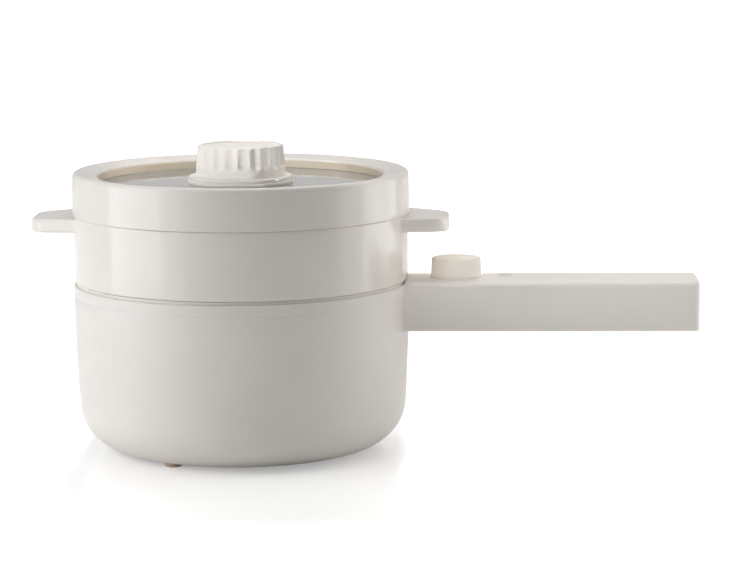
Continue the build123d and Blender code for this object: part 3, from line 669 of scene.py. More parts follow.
class Wardrobe:
    """The finished materials, each made once under the name of its slot in the record."""

    def __init__(self) -> None:
        """Makes every finish."""
        self.materials = {slot: finish.make() for slot, finish in FINISHES.items()}

    def dress(self, dressed: dict[str, str]) -> None:
        """Gives CAD nodes the finishes of slots.

        Args:
            dressed: For each slot, the names of its nodes with spaces between them.
        """
        for slot, nodes in dressed.items():
            for node in nodes.split():
                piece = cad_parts[node]
                if not piece.material_slots:
                    piece.data.materials.append(None)
                for place in piece.material_slots:
                    place.material = self.materials[slot]
                LOG.info("%s keeps its CAD shape, in %s", node, slot)

    def piece(
        self, name: str, shape: Surface, slot: str, body: str, nodes: Sequence[str] = (), finish: str = ""
    ) -> None:
        """Makes a piece of the object from a surface.

        Args:
            name: Piece's name.
            shape: Its surface, in place.
            slot: Slot in the record whose finish it takes.
            body: CAD body that it moves with.
            nodes: CAD nodes that it stands for.
            finish: A finish of its own in place of the slot's.
        """
        mesh = bpy.data.meshes.new(name)
        faces = [face for block in shape.faces for face in block.tolist()]
        mesh.from_pydata(shape.points.tolist(), [], faces)
        mesh.polygons.foreach_set("use_smooth", np.ones(len(mesh.polygons), bool))
        mesh.set_sharp_from_angle(angle=math.radians(SMOOTH_ANGLE))
        mesh.materials.append(self.materials[finish or slot])
        made = placed(name, mesh)
        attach(made, body)
        if nodes:
            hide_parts(*nodes)
        LOG.info("%s: %d faces, rides on %s", name, len(mesh.polygons), body)

    def turn(
        self, name: str, corners: Sequence[Corner], slot: str, body: str, node: str,
        segments: int = ROUND_SEGMENTS, steps: int = ARC_STEPS,
    ) -> None:
        """Makes a turned piece that stands for one CAD node, from the corners of its section."""
        self.piece(name, turned(outline(corners, steps), segments), slot, body, [node])


@dataclass
class PotBody:
    """The pot: outer shell, rim collar, inner pot and feet, with the heater and base inside and below."""

    wardrobe: Wardrobe
    shell_wall: float = 0.0026
    shell_corner: float = 0.028
    wall_curve: float = 1.0
    corner_points: int = 25
    curve_points: int = 15
    base_opening: float = 0.062
    base_recess: float = 0.0012
    seam_edge: float = 0.0002
    collar_plate: float = 0.0026
    collar_skirt_wall: float = 0.0024
    collar_edge: float = 0.0008
    fit_gap: float = 0.00015
    pot_bore: float = 0.088
    pot_wall: float = 0.002
    pot_corner: float = 0.012
    pot_flange: float = 0.0018
    pot_edge: float = 0.0007
    pot_steps: int = 8
    band_edge: float = 0.0001
    feet: int = 3
    foot_radius: float = 0.0052
    foot_circle: float = 0.073
    foot_edge: float = 0.0006
    foot_height: float = 0.003
    foot_stem: float = 0.003
    foot_segments: int = 48

    def __post_init__(self) -> None:
        """Reads the pot's main sizes from the frame."""
        low, high = node_box("outer_shell")
        self.radius = high[0]
        self.bottom, self.top = low[2], high[2]
        self.recess_radius = node_box("base_cover")[1][0] + self.fit_gap

    def wall_line(self, inset: float) -> np.ndarray:
        """Line of the shell's wall from its flat underside up to the rim, drawn in by inset.

        It is a flat, then an arc of the corner's radius, then a shallow arc of the wall's radius;
        the two arcs touch where their centres are in line.

        Args:
            inset: Distance inside the outer face.

        Returns:
            Array of (radius, height) points.
        """
        bottom = self.bottom + inset
        corner = self.shell_corner - inset
        curve = self.wall_curve - inset
        wall_centre = self.radius - self.wall_curve
        drop = self.top - bottom - corner
        corner_centre = wall_centre + math.sqrt((curve - corner) ** 2 - drop**2)
        join = math.atan2(-drop, corner_centre - wall_centre)
        low = np.linspace(-QUARTER, join, self.corner_points)
        high = np.linspace(join, -self.seam_edge / curve, self.curve_points)[1:]
        lower = corner * np.stack([np.cos(low), np.sin(low)], axis=1) + (corner_centre, bottom + corner)
        upper = curve * np.stack([np.cos(high), np.sin(high)], axis=1) + (wall_centre, self.top)
        rim = (self.radius - inset - self.seam_edge / 2, self.top)
        return np.concatenate([[(self.recess_radius, bottom)], lower, upper, [rim]])

    def wall_radius(self, height: np.ndarray) -> np.ndarray:
        """Radius of the pot's outer wall at heights above its lower corner."""
        below = np.minimum(height - self.top, 0.0)
        return self.radius - self.wall_curve + np.sqrt(self.wall_curve**2 - below**2)

    def build_shell(self) -> None:
        """Outer shell: the wall's outer and inner lines and the step round the base, carried round."""
        inner = self.bottom + self.shell_wall
        step = self.bottom + self.base_recess
        base = [(self.base_opening, inner), (self.base_opening, step), (self.recess_radius, step)]
        section = np.concatenate([self.wall_line(0.0), self.wall_line(self.shell_wall)[::-1], base])
        shape = turned(section)
        self.wardrobe.piece("outer_shell_skin", shape, "shell_plastic", "base", ["outer_shell"])

    def build_collar(self) -> None:
        """Collar that caps the shell and plugs into it."""
        low, high = node_box("rim_collar")
        bore = self.pot_bore + self.pot_wall + self.fit_gap
        skirt_out = self.radius - self.shell_wall - self.fit_gap
        skirt_in = skirt_out - self.collar_skirt_wall
        under = high[2] - self.collar_plate
        corners = (
            (bore, under), (bore, high[2]),
            (self.radius, high[2], self.collar_edge), (self.radius, self.top, self.seam_edge),
            (skirt_out, self.top), (skirt_out, low[2]),
            (skirt_in, low[2]), (skirt_in, under),
        )
        self.wardrobe.turn("rim_collar_skin", corners, "shell_plastic", "base", "rim_collar")

    def build_inner_pot(self) -> None:
        """Inner pot: a deep dish with a rounded floor and a flat flange."""
        low, high = node_box("inner_pot")
        outside = self.pot_bore + self.pot_wall
        floor = low[2] + self.pot_wall
        flange_under = high[2] - self.pot_flange
        corners = (
            (0.0, low[2]),
            (outside, low[2], self.pot_corner + self.pot_wall), (outside, flange_under),
            (high[0], flange_under, self.band_edge), (high[0], high[2], self.band_edge),
            (self.pot_bore, high[2], self.pot_edge), (self.pot_bore, floor, self.pot_corner),
            (0.0, floor),
        )
        self.wardrobe.turn(
            "inner_pot_dish", corners, "pot_coating", "base", "inner_pot", steps=self.pot_steps
        )

    def build_feet(self) -> None:
        """Feet, evenly round the pot: each a pad, and a stem through the shell."""
        top = node_box("rubber_feet")[1][2]
        corners = (
            (0.0, 0.0),
            (self.foot_radius, 0.0, self.foot_edge), (self.foot_radius, self.foot_height),
            (self.foot_stem, self.foot_height), (self.foot_stem, top),
            (0.0, top),
        )
        foot = turned(outline(corners), self.foot_segments)
        first, *others = (foot.moved(*place) for place in self.foot_circle * circle(self.feet))
        shape = sum(others, first)
        self.wardrobe.piece("rubber_feet_pads", shape, "foot_rubber", "base", ["rubber_feet"])

    def build(self) -> None:
        """Builds and dresses the pot."""
        self.build_shell()
        self.build_collar()
        self.build_inner_pot()
        self.build_feet()
        self.wardrobe.dress(
            {
                "heater_aluminium": "heating_plate heat_shield",
                "heater_steel": "heating_element",
                "bright_steel": "thermostat fuse_clip support_pillars base_screws "
                "handle_clamps handle_screws",
                "inner_plastic": "thermal_fuse",
                "under_plastic": "base_cover",
                "lead_insulation": "heater_leads",
                "earth_insulation": "earth_lead",
            }
        )


@dataclass
class Handle:
    """The side handle: its moulding, end cap, dial ring and indicator lens, with the switch gear inside."""

    wardrobe: Wardrobe
    pot: PotBody
    wall: float = 0.0025
    edge: float = 0.0024
    edge_steps: int = 5
    root_wall: float = 0.0041
    root_fillet: float = 0.002
    seam_edge: float = 0.00025
    cap_corner: float = 0.0045
    cap_edge: float = 0.0012
    cap_points: int = 10
    inlet_gap: float = 0.00015
    inlet_half_width: float = 0.0136
    inlet_rounding: float = 0.0005
    dial_ring_width: float = 0.0027
    dial_ring_overhang: float = 0.0007
    dial_ring_height: float = 0.0013
    dial_ring_edge: float = 0.0008
    dial_ring_segments: int = 96
    dial_taper: float = 0.00045
    dial_edge: float = 0.0012
    dial_gap: float = 0.00012
    dial_wall: float = 0.0026
    dial_segments: int = 128
    dial_steps: int = 10
    lens_flange: float = 0.0006
    lens_edge: float = 0.0003
    lens_rings: tuple[float, float] = (0.3, 0.6)
    lens_edge_points: int = 6
    lens_segments: int = 64

    def __post_init__(self) -> None:
        """Reads the handle's place from the frame."""
        low, high = node_box("handle_end_cap")
        self.half_width, self.end = high[1], high[0]
        self.bottom, self.top = low[2], high[2]
        self.seam = node_box("handle_body")[1][0]
        self.middle = (self.top + self.bottom) / 2
        self.half_height = (self.top - self.bottom) / 2
        low, high = node_box("control_dial")
        self.dial_radius, self.dial_top = high[1], high[2]
        self.dial_place = (low[0] + high[0]) / 2
        self.dial_bottom = self.top + self.dial_ring_height + self.dial_gap

    def root_stations(self, section: np.ndarray) -> np.ndarray:
        """Root of the handle: its section set on the pot's curved wall with a quarter round.

        A section point (y, z) starts at x = sqrt(R(z)^2 - y^2), with R the pot's wall radius, and
        the sides and the underside swell outwards by the quarter round as they near the wall.

        Args:
            section: Outline of (y, z) points.

        Returns:
            Array of stations x points x 3.
        """
        away, swell = root_flare(self.root_fillet)
        across, up = section[:, 0], section[:, 1]
        past_flat = (np.abs(across) - (self.half_width - self.edge)) / self.edge
        outer = np.clip(past_flat, 0.0, 1.0) * np.sign(across)
        under = np.clip((self.bottom + self.edge - up) / self.edge, 0.0, 1.0)
        y = across[None, :] + swell[:, None] * outer[None, :]
        z = up[None, :] - swell[:, None] * under[None, :]
        x = np.sqrt(self.pot.wall_radius(z) ** 2 - y**2) + away[:, None]
        return np.stack([x, y, z], axis=-1)

    def build_body(self) -> None:
        """Handle's moulding: a solid root on the pot's wall and an inverted channel out to the seam."""
        inside = self.pot.radius + self.root_wall
        centre = np.array([0.0, self.middle])
        block = rounded_loop(np.array([self.half_width]), np.array([self.half_height]), self.edge) + centre
        root = np.concatenate([self.root_stations(block[0]), along(np.array([inside]), block)])
        hollow = self.half_width - self.wall
        ceiling = self.top - self.wall
        corners = (
            (-self.half_width, self.bottom, self.edge), (-self.half_width, self.top, self.edge),
            (self.half_width, self.top, self.edge), (self.half_width, self.bottom, self.edge),
            (hollow, self.bottom), (hollow, ceiling, self.edge / 4),
            (-hollow, ceiling, self.edge / 4), (-hollow, self.bottom),
        )
        channel = outline(corners, self.edge_steps)
        stations = np.array([inside, self.seam - 2 * self.seam_edge, self.seam - self.seam_edge, self.seam])
        shrink = np.array([0.0, 0.0, 0.0, self.seam_edge / 2])
        reach = np.array([self.half_width, self.half_height])
        loops = centre + (channel - centre)[None] * (1 - shrink[:, None, None] / reach)
        shape = grid(root, capped=True) + grid(along(stations, loops), capped=True)
        self.wardrobe.piece("handle_moulding", shape, "shell_plastic", "base", ["handle_body"])

    def build_end_cap(self) -> None:
        """End cap: the handle's section drawn in along a quarter round, with the inlet's opening.

        Loops run from the seam to the end face, in to the opening, back through it and out again,
        so that the grid closes on itself.
        """
        turn = quarter(self.cap_points)
        corner = self.end - self.cap_corner + self.cap_corner * np.sin(turn)
        past_edge = np.clip(corner - (self.end - self.cap_edge), 0.0, self.cap_edge)
        narrow = self.cap_corner * (1 - np.cos(turn))
        lower = self.cap_edge - np.sqrt(self.cap_edge**2 - past_edge**2)
        start = [self.seam_edge / 2, 0.0]
        wide = self.half_width - np.concatenate([start, narrow])
        high = self.half_height - np.concatenate([start, lower])
        low_inlet, high_inlet = node_box("power_inlet")
        half_inlet = (high_inlet[2] - low_inlet[2]) / 2
        opening = np.array([self.inlet_half_width, half_inlet]) + self.inlet_gap
        opening = rounded_loop(*np.repeat(opening[:, None], 2, axis=1), self.inlet_rounding)
        loops = np.concatenate([rounded_loop(wide, high, self.edge), opening])
        places = np.concatenate([[self.seam, self.seam + self.seam_edge], corner, [self.end, self.seam]])
        shape = grid(along(places, loops + np.array([0.0, self.middle])), Loop.CLOSED)
        self.wardrobe.piece("handle_end_cap_skin", shape, "shell_plastic", "base", ["handle_end_cap"])

    def build_dial_ring(self) -> None:
        """Raised ring on the handle round the dial's lower edge."""
        outer = self.dial_radius + self.dial_ring_overhang
        inner = outer - self.dial_ring_width
        top = self.top + self.dial_ring_height
        root = self.top - self.wall
        corners = (
            (inner, root), (inner, top, self.dial_ring_edge / 2),
            (outer, top, self.dial_ring_edge), (outer, root),
        )
        shape = turned(outline(corners), self.dial_ring_segments).moved(self.dial_place)
        self.wardrobe.piece("dial_ring", shape, "shell_plastic", "base")

    def build_dial(self) -> None:
        """Dial: a slightly tapered cup, closed above, on its shaft."""
        upper = self.dial_radius - self.dial_taper
        inner = upper - self.dial_wall
        ceiling = self.dial_top - self.dial_wall
        corners = (
            (0.0, ceiling),
            (inner, ceiling), (inner, self.dial_bottom),
            (self.dial_radius, self.dial_bottom, self.seam_edge), (upper, self.dial_top, self.dial_edge),
            (0.0, self.dial_top),
        )
        shape = turned(outline(corners, self.dial_steps), self.dial_segments).moved(self.dial_place)
        nodes = ["control_dial"]
        self.wardrobe.piece("control_dial_cap", shape, "knob_plastic", "dial", nodes, "dial_plastic")

    def build_lens(self) -> None:
        """Indicator lens: a long round-ended pad, loops of it drawn in and up over its edge."""
        low, high = node_box("indicator_lens")
        centre = (low + high) / 2
        half_wide, half_long = (high - centre)[:2] - self.lens_flange
        turn = quarter(self.lens_edge_points)
        rings = half_wide * np.array(self.lens_rings)
        inset = np.concatenate([[0.0], self.lens_edge * (1 - np.cos(turn)), rings])
        edge_rise = high[2] - self.lens_edge * (1 - np.sin(turn))
        rise = np.concatenate([[self.top - self.wall], edge_rise, np.full(len(rings), high[2])])
        angle = angles(self.lens_segments)
        points = carried_round((half_wide - inset)[:, None], rise[:, None], angle)
        points[..., 1] += (half_long - half_wide) * np.sign(np.sin(angle + TINY))
        shape = grid(points, capped=True).moved(*centre[:2])
        self.wardrobe.piece("indicator_lens_pad", shape, "pilot_lens", "base", ["indicator_lens"])

    def build(self) -> None:
        """Builds and dresses the handle."""
        self.build_body()
        self.build_end_cap()
        self.build_dial_ring()
        self.build_dial()
        self.build_lens()
        self.wardrobe.dress(
            {
                "under_plastic": "handle_bottom_cover",
                "bright_steel": "cover_screws switch_nut dial_shaft board_screws",
                "socket_plastic": "power_inlet rotary_switch",
                "contact_brass": "inlet_pins",
                "board_laminate": "control_board",
                "pilot_lens": "indicator_led",
                "lead_insulation": "mains_leads",
            }
        )


@dataclass
class SteamerTier:
    """The steamer: a round wall with a neck, a pierced floor and two carrying tabs."""

    wardrobe: Wardrobe
    wall: float = 0.0024
    neck_radius: float = 0.0877
    neck_depth: float = 0.008
    floor_thickness: float = 0.0024
    edge: float = 0.001
    inner_edge: float = 0.003
    floor_edge: float = 0.0805
    hole_radius: float = 0.0025
    hole_pitch: float = 0.015
    hole_sides: int = 20
    ring_holes: int = 6
    rim_sides: int = 96
    tab_root_half: float = 0.03
    tab_tip_half: float = 0.019
    tab_half_thickness: float = 0.00405
    tab_drop: float = 0.0012
    tab_corner: float = 0.009
    tab_corner_points: int = 14
    tab_run_steps: int = 5
    tab_edge: float = 0.0014
    tab_droop: float = 2.2
    tab_fillet: float = 0.0016

    def __post_init__(self) -> None:
        """Reads the tier's main sizes from the frame."""
        low, high = node_box("steamer_tier")
        self.reach, self.radius, self.top = high
        self.neck_bottom = low[2]
        self.bottom = low[2] + self.neck_depth

    def wall_shape(self) -> Surface:
        """Wall, shoulder and neck as one turned ring.

        Returns:
            Closed ring.
        """
        inside = self.radius - self.wall
        neck_inside = self.neck_radius - self.wall
        shelf = self.bottom + self.wall
        floor = self.neck_bottom + self.floor_thickness
        corners = (
            (self.floor_edge, self.neck_bottom),
            (self.neck_radius, self.neck_bottom, self.edge), (self.neck_radius, self.bottom),
            (self.radius, self.bottom, self.edge), (self.radius, self.top, self.edge / 2),
            (inside, self.top, self.edge / 2), (inside, shelf, self.inner_edge),
            (neck_inside, shelf), (neck_inside, floor, self.inner_edge),
            (self.floor_edge, floor),
        )
        return turned(outline(corners))

    def hole_places(self) -> np.ndarray:
        """Centres of the steam holes: one in the middle and six more in each ring outwards.

        Returns:
            Array of holes x 2.
        """
        rings = 1 + np.arange(int((self.neck_radius - self.wall - self.inner_edge) / self.hole_pitch))
        circles = [self.hole_pitch * ring * circle(self.ring_holes * ring) for ring in rings]
        return np.vstack([np.zeros((1, 2)), *circles])

    def floor_shape(self) -> Surface:
        """Pierced floor: a disc triangulated round its holes, doubled for thickness, with walls between.

        Returns:
            Closed plate.
        """
        holes = self.hole_places()
        rings = holes[:, None] + self.hole_radius * circle(self.hole_sides)[None]
        rim = (self.floor_edge + self.edge / 2) * circle(self.rim_sides)
        plan = np.vstack([rim, rings.reshape(-1, 2)])
        side = np.arange(self.rim_sides)
        rim_edges = np.stack([side, (side + 1) % self.rim_sides], axis=1)
        first = self.rim_sides + self.hole_sides * np.arange(len(holes))[:, None]
        step = np.arange(self.hole_sides)[None]
        hole_edges = np.stack([first + step, first + (step + 1) % self.hole_sides], axis=-1).reshape(-1, 2)
        edges = np.vstack([rim_edges, hole_edges]).tolist()
        spots, _, faces, *_ = delaunay_2d_cdt(plan.tolist(), edges, [], 0, TINY)
        spots, triangles = np.array(spots), np.array(faces)
        middles = spots[triangles].mean(axis=1)
        apart = np.linalg.norm(middles[:, None] - holes[None], axis=-1).min(axis=1)
        triangles = triangles[apart > self.hole_radius * math.cos(np.pi / self.hole_sides)]
        count = len(spots)
        levels = self.neck_bottom + np.repeat([0.0, self.floor_thickness], count)
        points = np.column_stack([np.vstack([spots, spots]), levels])
        hole_walls = np.column_stack([hole_edges[:, :1], hole_edges + count, hole_edges[:, 1:]])
        rim_walls = np.column_stack([rim_edges, rim_edges[:, ::-1] + count])
        return Surface(points, [triangles + count, triangles[:, ::-1], hole_walls, rim_walls])

    def tab_shape(self) -> Surface:
        """One tab: a rounded section that leaves the wall in a quarter round, narrows and rounds off.

        Stations follow the round wall at the root, x = x0 - s (R - sqrt(R^2 - y^2)) with s falling
        from one at the root to nothing where the tip's corners start. Half width falls in a straight
        line from root to tip. Over the last stretch the width follows the plan's corner arc and
        the thickness follows the edge's arc.

        Returns:
            Closed surface on the +X side.
        """
        away, swell = root_flare(self.tab_fillet)
        flared = len(away)
        turn = quarter(self.tab_corner_points)
        x_tip = self.reach - self.tab_corner + self.tab_corner * np.sin(turn)
        run = np.linspace(self.radius + 2 * self.tab_fillet, x_tip[0], self.tab_run_steps, endpoint=False)
        x = np.concatenate([self.radius + away, run, x_tip])
        follow = np.clip((x_tip[0] - x) / (x_tip[0] - self.radius - self.tab_fillet), 0.0, 1.0)
        root = math.sqrt(self.radius**2 - self.tab_root_half**2)
        slope = (self.tab_tip_half - self.tab_root_half) / (self.reach - root)
        half = self.tab_root_half + slope * (x - follow * (self.radius - root) - root)
        past = np.clip(x - (self.reach - self.tab_edge), 0.0, self.tab_edge)
        thick = self.tab_half_thickness - self.tab_edge + np.sqrt(self.tab_edge**2 - past**2)
        half[-len(turn):] -= self.tab_corner * (1 - np.cos(turn))
        half[:flared] += swell
        thick[:flared] += swell
        loops = rounded_loop(half, thick, self.tab_edge)
        across = loops[..., 0]
        ahead = x[:, None] - follow[:, None] * (self.radius - np.sqrt(self.radius**2 - across**2))
        ahead[0] -= self.wall / 2
        middle = self.top - self.tab_drop - self.tab_half_thickness
        droop = math.tan(math.radians(self.tab_droop))
        up = middle + loops[..., 1] - droop * np.maximum(ahead - self.radius, 0.0)
        return grid(np.stack([ahead, across, up], axis=-1), capped=True)

    def build(self) -> None:
        """Builds the tier as one piece."""
        tab = self.tab_shape()
        shape = self.wall_shape() + self.floor_shape() + tab + tab.turned_about()
        self.wardrobe.piece("steamer_tier_shell", shape, "tier_plastic", "steamer", ["steamer_tier"])


@dataclass
class Lid:
    """The lid: outer ring, seal, glass, inner ring and a scalloped knob on its flange."""

    wardrobe: Wardrobe
    taper: float = 0.0005
    edge: float = 0.0026
    edge_steps: int = 8
    height: float = 0.0251
    skirt_wall: float = 0.003
    inner_radius: float = 0.0848
    dish: float = 0.0027
    lip_edge: float = 0.0018
    plate: float = 0.0023
    inner_edge: float = 0.0004
    fit_gap: float = 0.00015
    pocket_wall: float = 0.0025
    retainer_plate: float = 0.0024
    retainer_skirt: float = 0.0963
    retainer_skirt_wall: float = 0.0024
    retainer_inner: float = 0.0858
    retainer_edge: float = 0.0008
    seal_inner: float = 0.0851
    seal_lip: float = 0.0006
    seal_drop: float = 0.0007
    seal_round: float = 0.0003
    glass_edge: float = 0.0006
    glass_hole: float = 0.004
    flange_step: float = 0.0005
    flange_lip: float = 0.0018
    flange_edge: float = 0.0011
    flange_segments: int = 128
    knob_foot_height: float = 0.0024
    knob_waist: float = 0.0264
    knob_waist_round: float = 0.002
    knob_top_radius: float = 0.0255
    knob_edge: float = 0.0008
    knob_edge_steps: int = 7
    knob_rim: float = 0.0027
    knob_dish: float = 0.0008
    knob_bore: float = 0.0026
    knob_side_steps: int = 25
    scallops: int = 22
    scallop_steps: int = 20
    scallop_radius: float = 0.0046
    scallop_depth: float = 0.001
    scallop_start: float = 0.0045
    scallop_blend: float = 0.0005
    washer_segments: int = 96
    screw_radius: float = 0.0025
    screw_head_height: float = 0.0032
    screw_head_edge: float = 0.0012
    screw_segments: int = 64

    def __post_init__(self) -> None:
        """Reads the lid's levels from the frame."""
        low, high = node_box("lid_ring")
        self.radius, self.bottom = high[0], low[2]
        self.top = low[2] + self.height
        low, high = node_box("lid_glass")
        self.glass_bottom, self.glass_top, self.glass_radius = low[2], high[2], high[0]
        low, high = node_box("lid_gasket")
        self.seal_bottom, self.seal_top, self.seal_radius = low[2], high[2], high[0]
        high = node_box("knob_base")[1]
        self.flange_top, self.flange_radius = high[2], high[0]
        high = node_box("lid_knob")[1]
        self.knob_top, self.knob_foot = high[2], high[0]
        self.inner_top = self.top - self.dish
        self.retainer_step = self.seal_bottom - self.retainer_plate / 2

    def build_ring(self) -> None:
        """Outer ring: skirt, rounded crest, dished top and a pocket for the seal."""
        inside = self.radius - self.skirt_wall
        pocket = self.seal_radius + self.fit_gap
        pocket_out = pocket + self.pocket_wall
        slope = self.dish / (self.radius - self.taper - self.inner_radius)
        under = self.inner_top - slope * self.inner_radius - self.plate
        corners = (
            (self.radius, self.bottom, self.inner_edge), (self.radius - self.taper, self.top, self.edge),
            (self.inner_radius, self.inner_top, self.lip_edge),
            (self.inner_radius, self.seal_top, self.inner_edge),
            (pocket, self.seal_top), (pocket, self.retainer_step),
            (pocket_out, self.retainer_step), (pocket_out, under + slope * pocket_out),
            (inside, under + slope * inside), (inside, self.bottom),
        )
        self.wardrobe.turn(
            "lid_ring_shell", corners, "tier_plastic", "lid", "lid_ring", steps=self.edge_steps
        )

    def build_seal(self) -> None:
        """Seal: a channel round the glass's edge, with a lip that lines the ring's inner edge."""
        lip_top = self.inner_top - self.seal_drop
        lip = self.inner_radius - self.seal_lip
        corners = (
            (lip, self.glass_top, self.seal_round), (lip, lip_top, self.seal_round),
            (self.inner_radius, lip_top), (self.inner_radius, self.seal_top),
            (self.seal_radius, self.seal_top), (self.seal_radius, self.seal_bottom),
            (self.seal_inner, self.seal_bottom, self.seal_round),
            (self.seal_inner, self.glass_bottom, self.seal_round),
            (self.glass_radius, self.glass_bottom), (self.glass_radius, self.glass_top),
        )
        self.wardrobe.turn("lid_seal", corners, "seal_silicone", "lid", "lid_gasket")

    def build_glass(self) -> None:
        """Glass disc with rounded edges and a hole for the screw."""
        corners = (
            (self.glass_hole, self.glass_bottom), (self.glass_hole, self.glass_top),
            (self.glass_radius, self.glass_top, self.glass_edge),
            (self.glass_radius, self.glass_bottom, self.glass_edge),
        )
        self.wardrobe.turn("lid_glass_disc", corners, "lid_glass", "lid", "lid_glass")

    def build_retainer(self) -> None:
        """Inner ring that holds the seal up and centres the lid in the tier."""
        low, high = node_box("lid_retainer")
        under = self.retainer_step - self.retainer_plate
        skirt_in = self.retainer_skirt - self.retainer_skirt_wall
        corners = (
            (self.retainer_inner, under, self.inner_edge),
            (self.retainer_inner, self.seal_bottom, self.inner_edge),
            (self.seal_radius, self.seal_bottom), (self.seal_radius, self.retainer_step),
            (high[0], self.retainer_step), (high[0], under),
            (self.retainer_skirt, under), (self.retainer_skirt, low[2], self.retainer_edge),
            (skirt_in, low[2], self.retainer_edge), (skirt_in, under, self.retainer_edge),
        )
        self.wardrobe.turn("lid_inner_ring", corners, "inner_plastic", "lid", "lid_retainer")

    def build_flange(self) -> None:
        """Round flange under the knob, with a stepped edge."""
        upper = self.flange_radius - self.flange_step
        lip = self.glass_top + self.flange_lip
        corners = (
            (self.knob_bore, self.glass_top),
            (self.flange_radius, self.glass_top, self.seal_round),
            (self.flange_radius, lip, self.seal_round),
            (upper, lip, self.seal_round / 2), (upper, self.flange_top, self.flange_edge),
            (self.knob_bore, self.flange_top),
        )
        self.wardrobe.turn("knob_flange", corners, "knob_plastic", "lid", "knob_base", self.flange_segments)

    def knob_line(self) -> np.ndarray:
        """Knob's half section from pole to pole, with even steps along its side for the flutes.

        Returns:
            Array of (radius, height) points.
        """
        rim = self.knob_top_radius - self.knob_rim
        dish = self.knob_top - self.knob_dish
        corners = (
            (0.0, self.flange_top),
            (self.knob_foot, self.flange_top, self.seal_round),
            (self.knob_waist, self.flange_top + self.knob_foot_height, self.knob_waist_round),
            (self.knob_top_radius, self.knob_top, self.knob_edge),
            (rim, self.knob_top, self.knob_edge / 2),
            (rim - self.knob_dish, dish, self.knob_edge / 2),
            (0.0, dish),
        )
        line = outline(corners, self.knob_edge_steps)
        longest = int(np.argmax(np.diff(line[:, 1])))
        ends = line[longest : longest + 2]
        share = np.linspace(0.0, 1.0, self.knob_side_steps + 1)[1:-1, None]
        side = ends[0] + share * (ends[1] - ends[0])
        return np.concatenate([line[: longest + 1], side, line[longest + 1 :]])

    def build_knob(self) -> None:
        """Knob: a turned body whose sides are hollowed by upright round flutes.

        With D the flutes' distance from the axis, p the angle from the nearest flute and w its
        half width at a height, the hollowed radius is D cos p - sqrt(w^2 - D^2 sin^2 p). Above the
        flute's foot w is the flute's radius, and below it shrinks as a ball does. The knob takes
        the smaller of its own radius and that one, with a soft blend between them.
        """
        line = self.knob_line()
        rows = line[1:-1]
        angle = angles(self.scallops * self.scallop_steps)
        pitch = 4 * QUARTER / self.scallops
        phase = (angle + pitch / 2) % pitch - pitch / 2
        centre = self.knob_top_radius + self.scallop_radius - self.scallop_depth
        rise = math.sqrt(self.scallop_radius**2 - (centre - self.knob_waist) ** 2)
        below = np.maximum(self.flange_top + self.scallop_start + rise - rows[:, 1:], 0.0)
        flute = np.maximum(self.scallop_radius**2 - below**2, 0.0)
        room = flute - (centre * np.sin(phase)) ** 2
        hollow = np.where(room > 0, centre * np.cos(phase) - np.sqrt(np.maximum(room, 0.0)), FAR)
        mix = np.clip((1 + (hollow - rows[:, :1]) / self.scallop_blend) / 2, 0.0, 1.0)
        radius = hollow + (rows[:, :1] - hollow) * mix - self.scallop_blend * mix * (1 - mix)
        shape = with_poles(carried_round(radius, rows[:, 1:], angle), line[0, 1], line[-1, 1])
        self.wardrobe.piece("lid_knob_grip", shape, "knob_plastic", "lid", ["lid_knob"])

    def build_fixings(self) -> None:
        """Washer under the glass, and the screw from below into the knob."""
        low, high = node_box("knob_washer")
        corners = (
            (self.knob_bore, low[2]), (self.knob_bore, high[2]),
            (high[0], high[2], self.seal_round), (high[0], low[2], self.seal_round),
        )
        self.wardrobe.turn(
            "knob_washer_disc", corners, "bright_steel", "lid", "knob_washer", self.washer_segments
        )
        low, high = node_box("knob_screw")
        seat = low[2] + self.screw_head_height
        corners = (
            (0.0, low[2]),
            (high[0], low[2], self.screw_head_edge), (high[0], seat),
            (self.screw_radius, seat), (self.screw_radius, high[2]),
            (0.0, high[2]),
        )
        self.wardrobe.turn(
            "knob_screw_pin", corners, "bright_steel", "lid", "knob_screw", self.screw_segments
        )

    def build(self) -> None:
        """Builds the lid."""
        self.build_ring()
        self.build_seal()
        self.build_glass()
        self.build_retainer()
        self.build_flange()
        self.build_knob()
        self.build_fixings()


@dataclass(frozen=True)
class Softbox:
    """One area lamp that faces a point; its beam spreads by an angle in degrees."""

    name: str
    place: Triple
    aim: Triple
    size: tuple[float, float]
    power: float
    spread: float = 180.0
    tint: Triple = WHITE

    @classmethod
    def upright(cls, name: str, azimuth: float, power: float, tint: Triple = WHITE) -> "Softbox":
        """Upright panel beside the object.

        Args:
            name: Lamp's name.
            azimuth: Degrees round from the camera's side, positive to the left.
            power: Watts.
            tint: Colour of the light.

        Returns:
            The lamp, on a circle about the object's middle and facing it.
        """
        turn = math.radians(azimuth)
        x, y = PANEL_MIDDLE - PANEL_REACH * math.sin(turn), -PANEL_REACH * math.cos(turn)
        level = PANEL_SIZE[1] / 2
        return cls(name, (x, y, level), (PANEL_MIDDLE, 0.0, level), PANEL_SIZE, power, tint=tint)

    def make(self) -> None:
        """Puts the lamp in the scene."""
        data = bpy.data.lights.new(self.name, "AREA")
        data.shape = "RECTANGLE"
        data.size, data.size_y = self.size
        data.energy = self.power
        data.color = self.tint
        data.spread = math.radians(self.spread)
        lamp = placed(self.name, data)
        lamp.location = self.place
        facing = Vector(self.aim) - Vector(self.place)
        lamp.rotation_euler = facing.to_track_quat("-Z", "Y").to_euler()


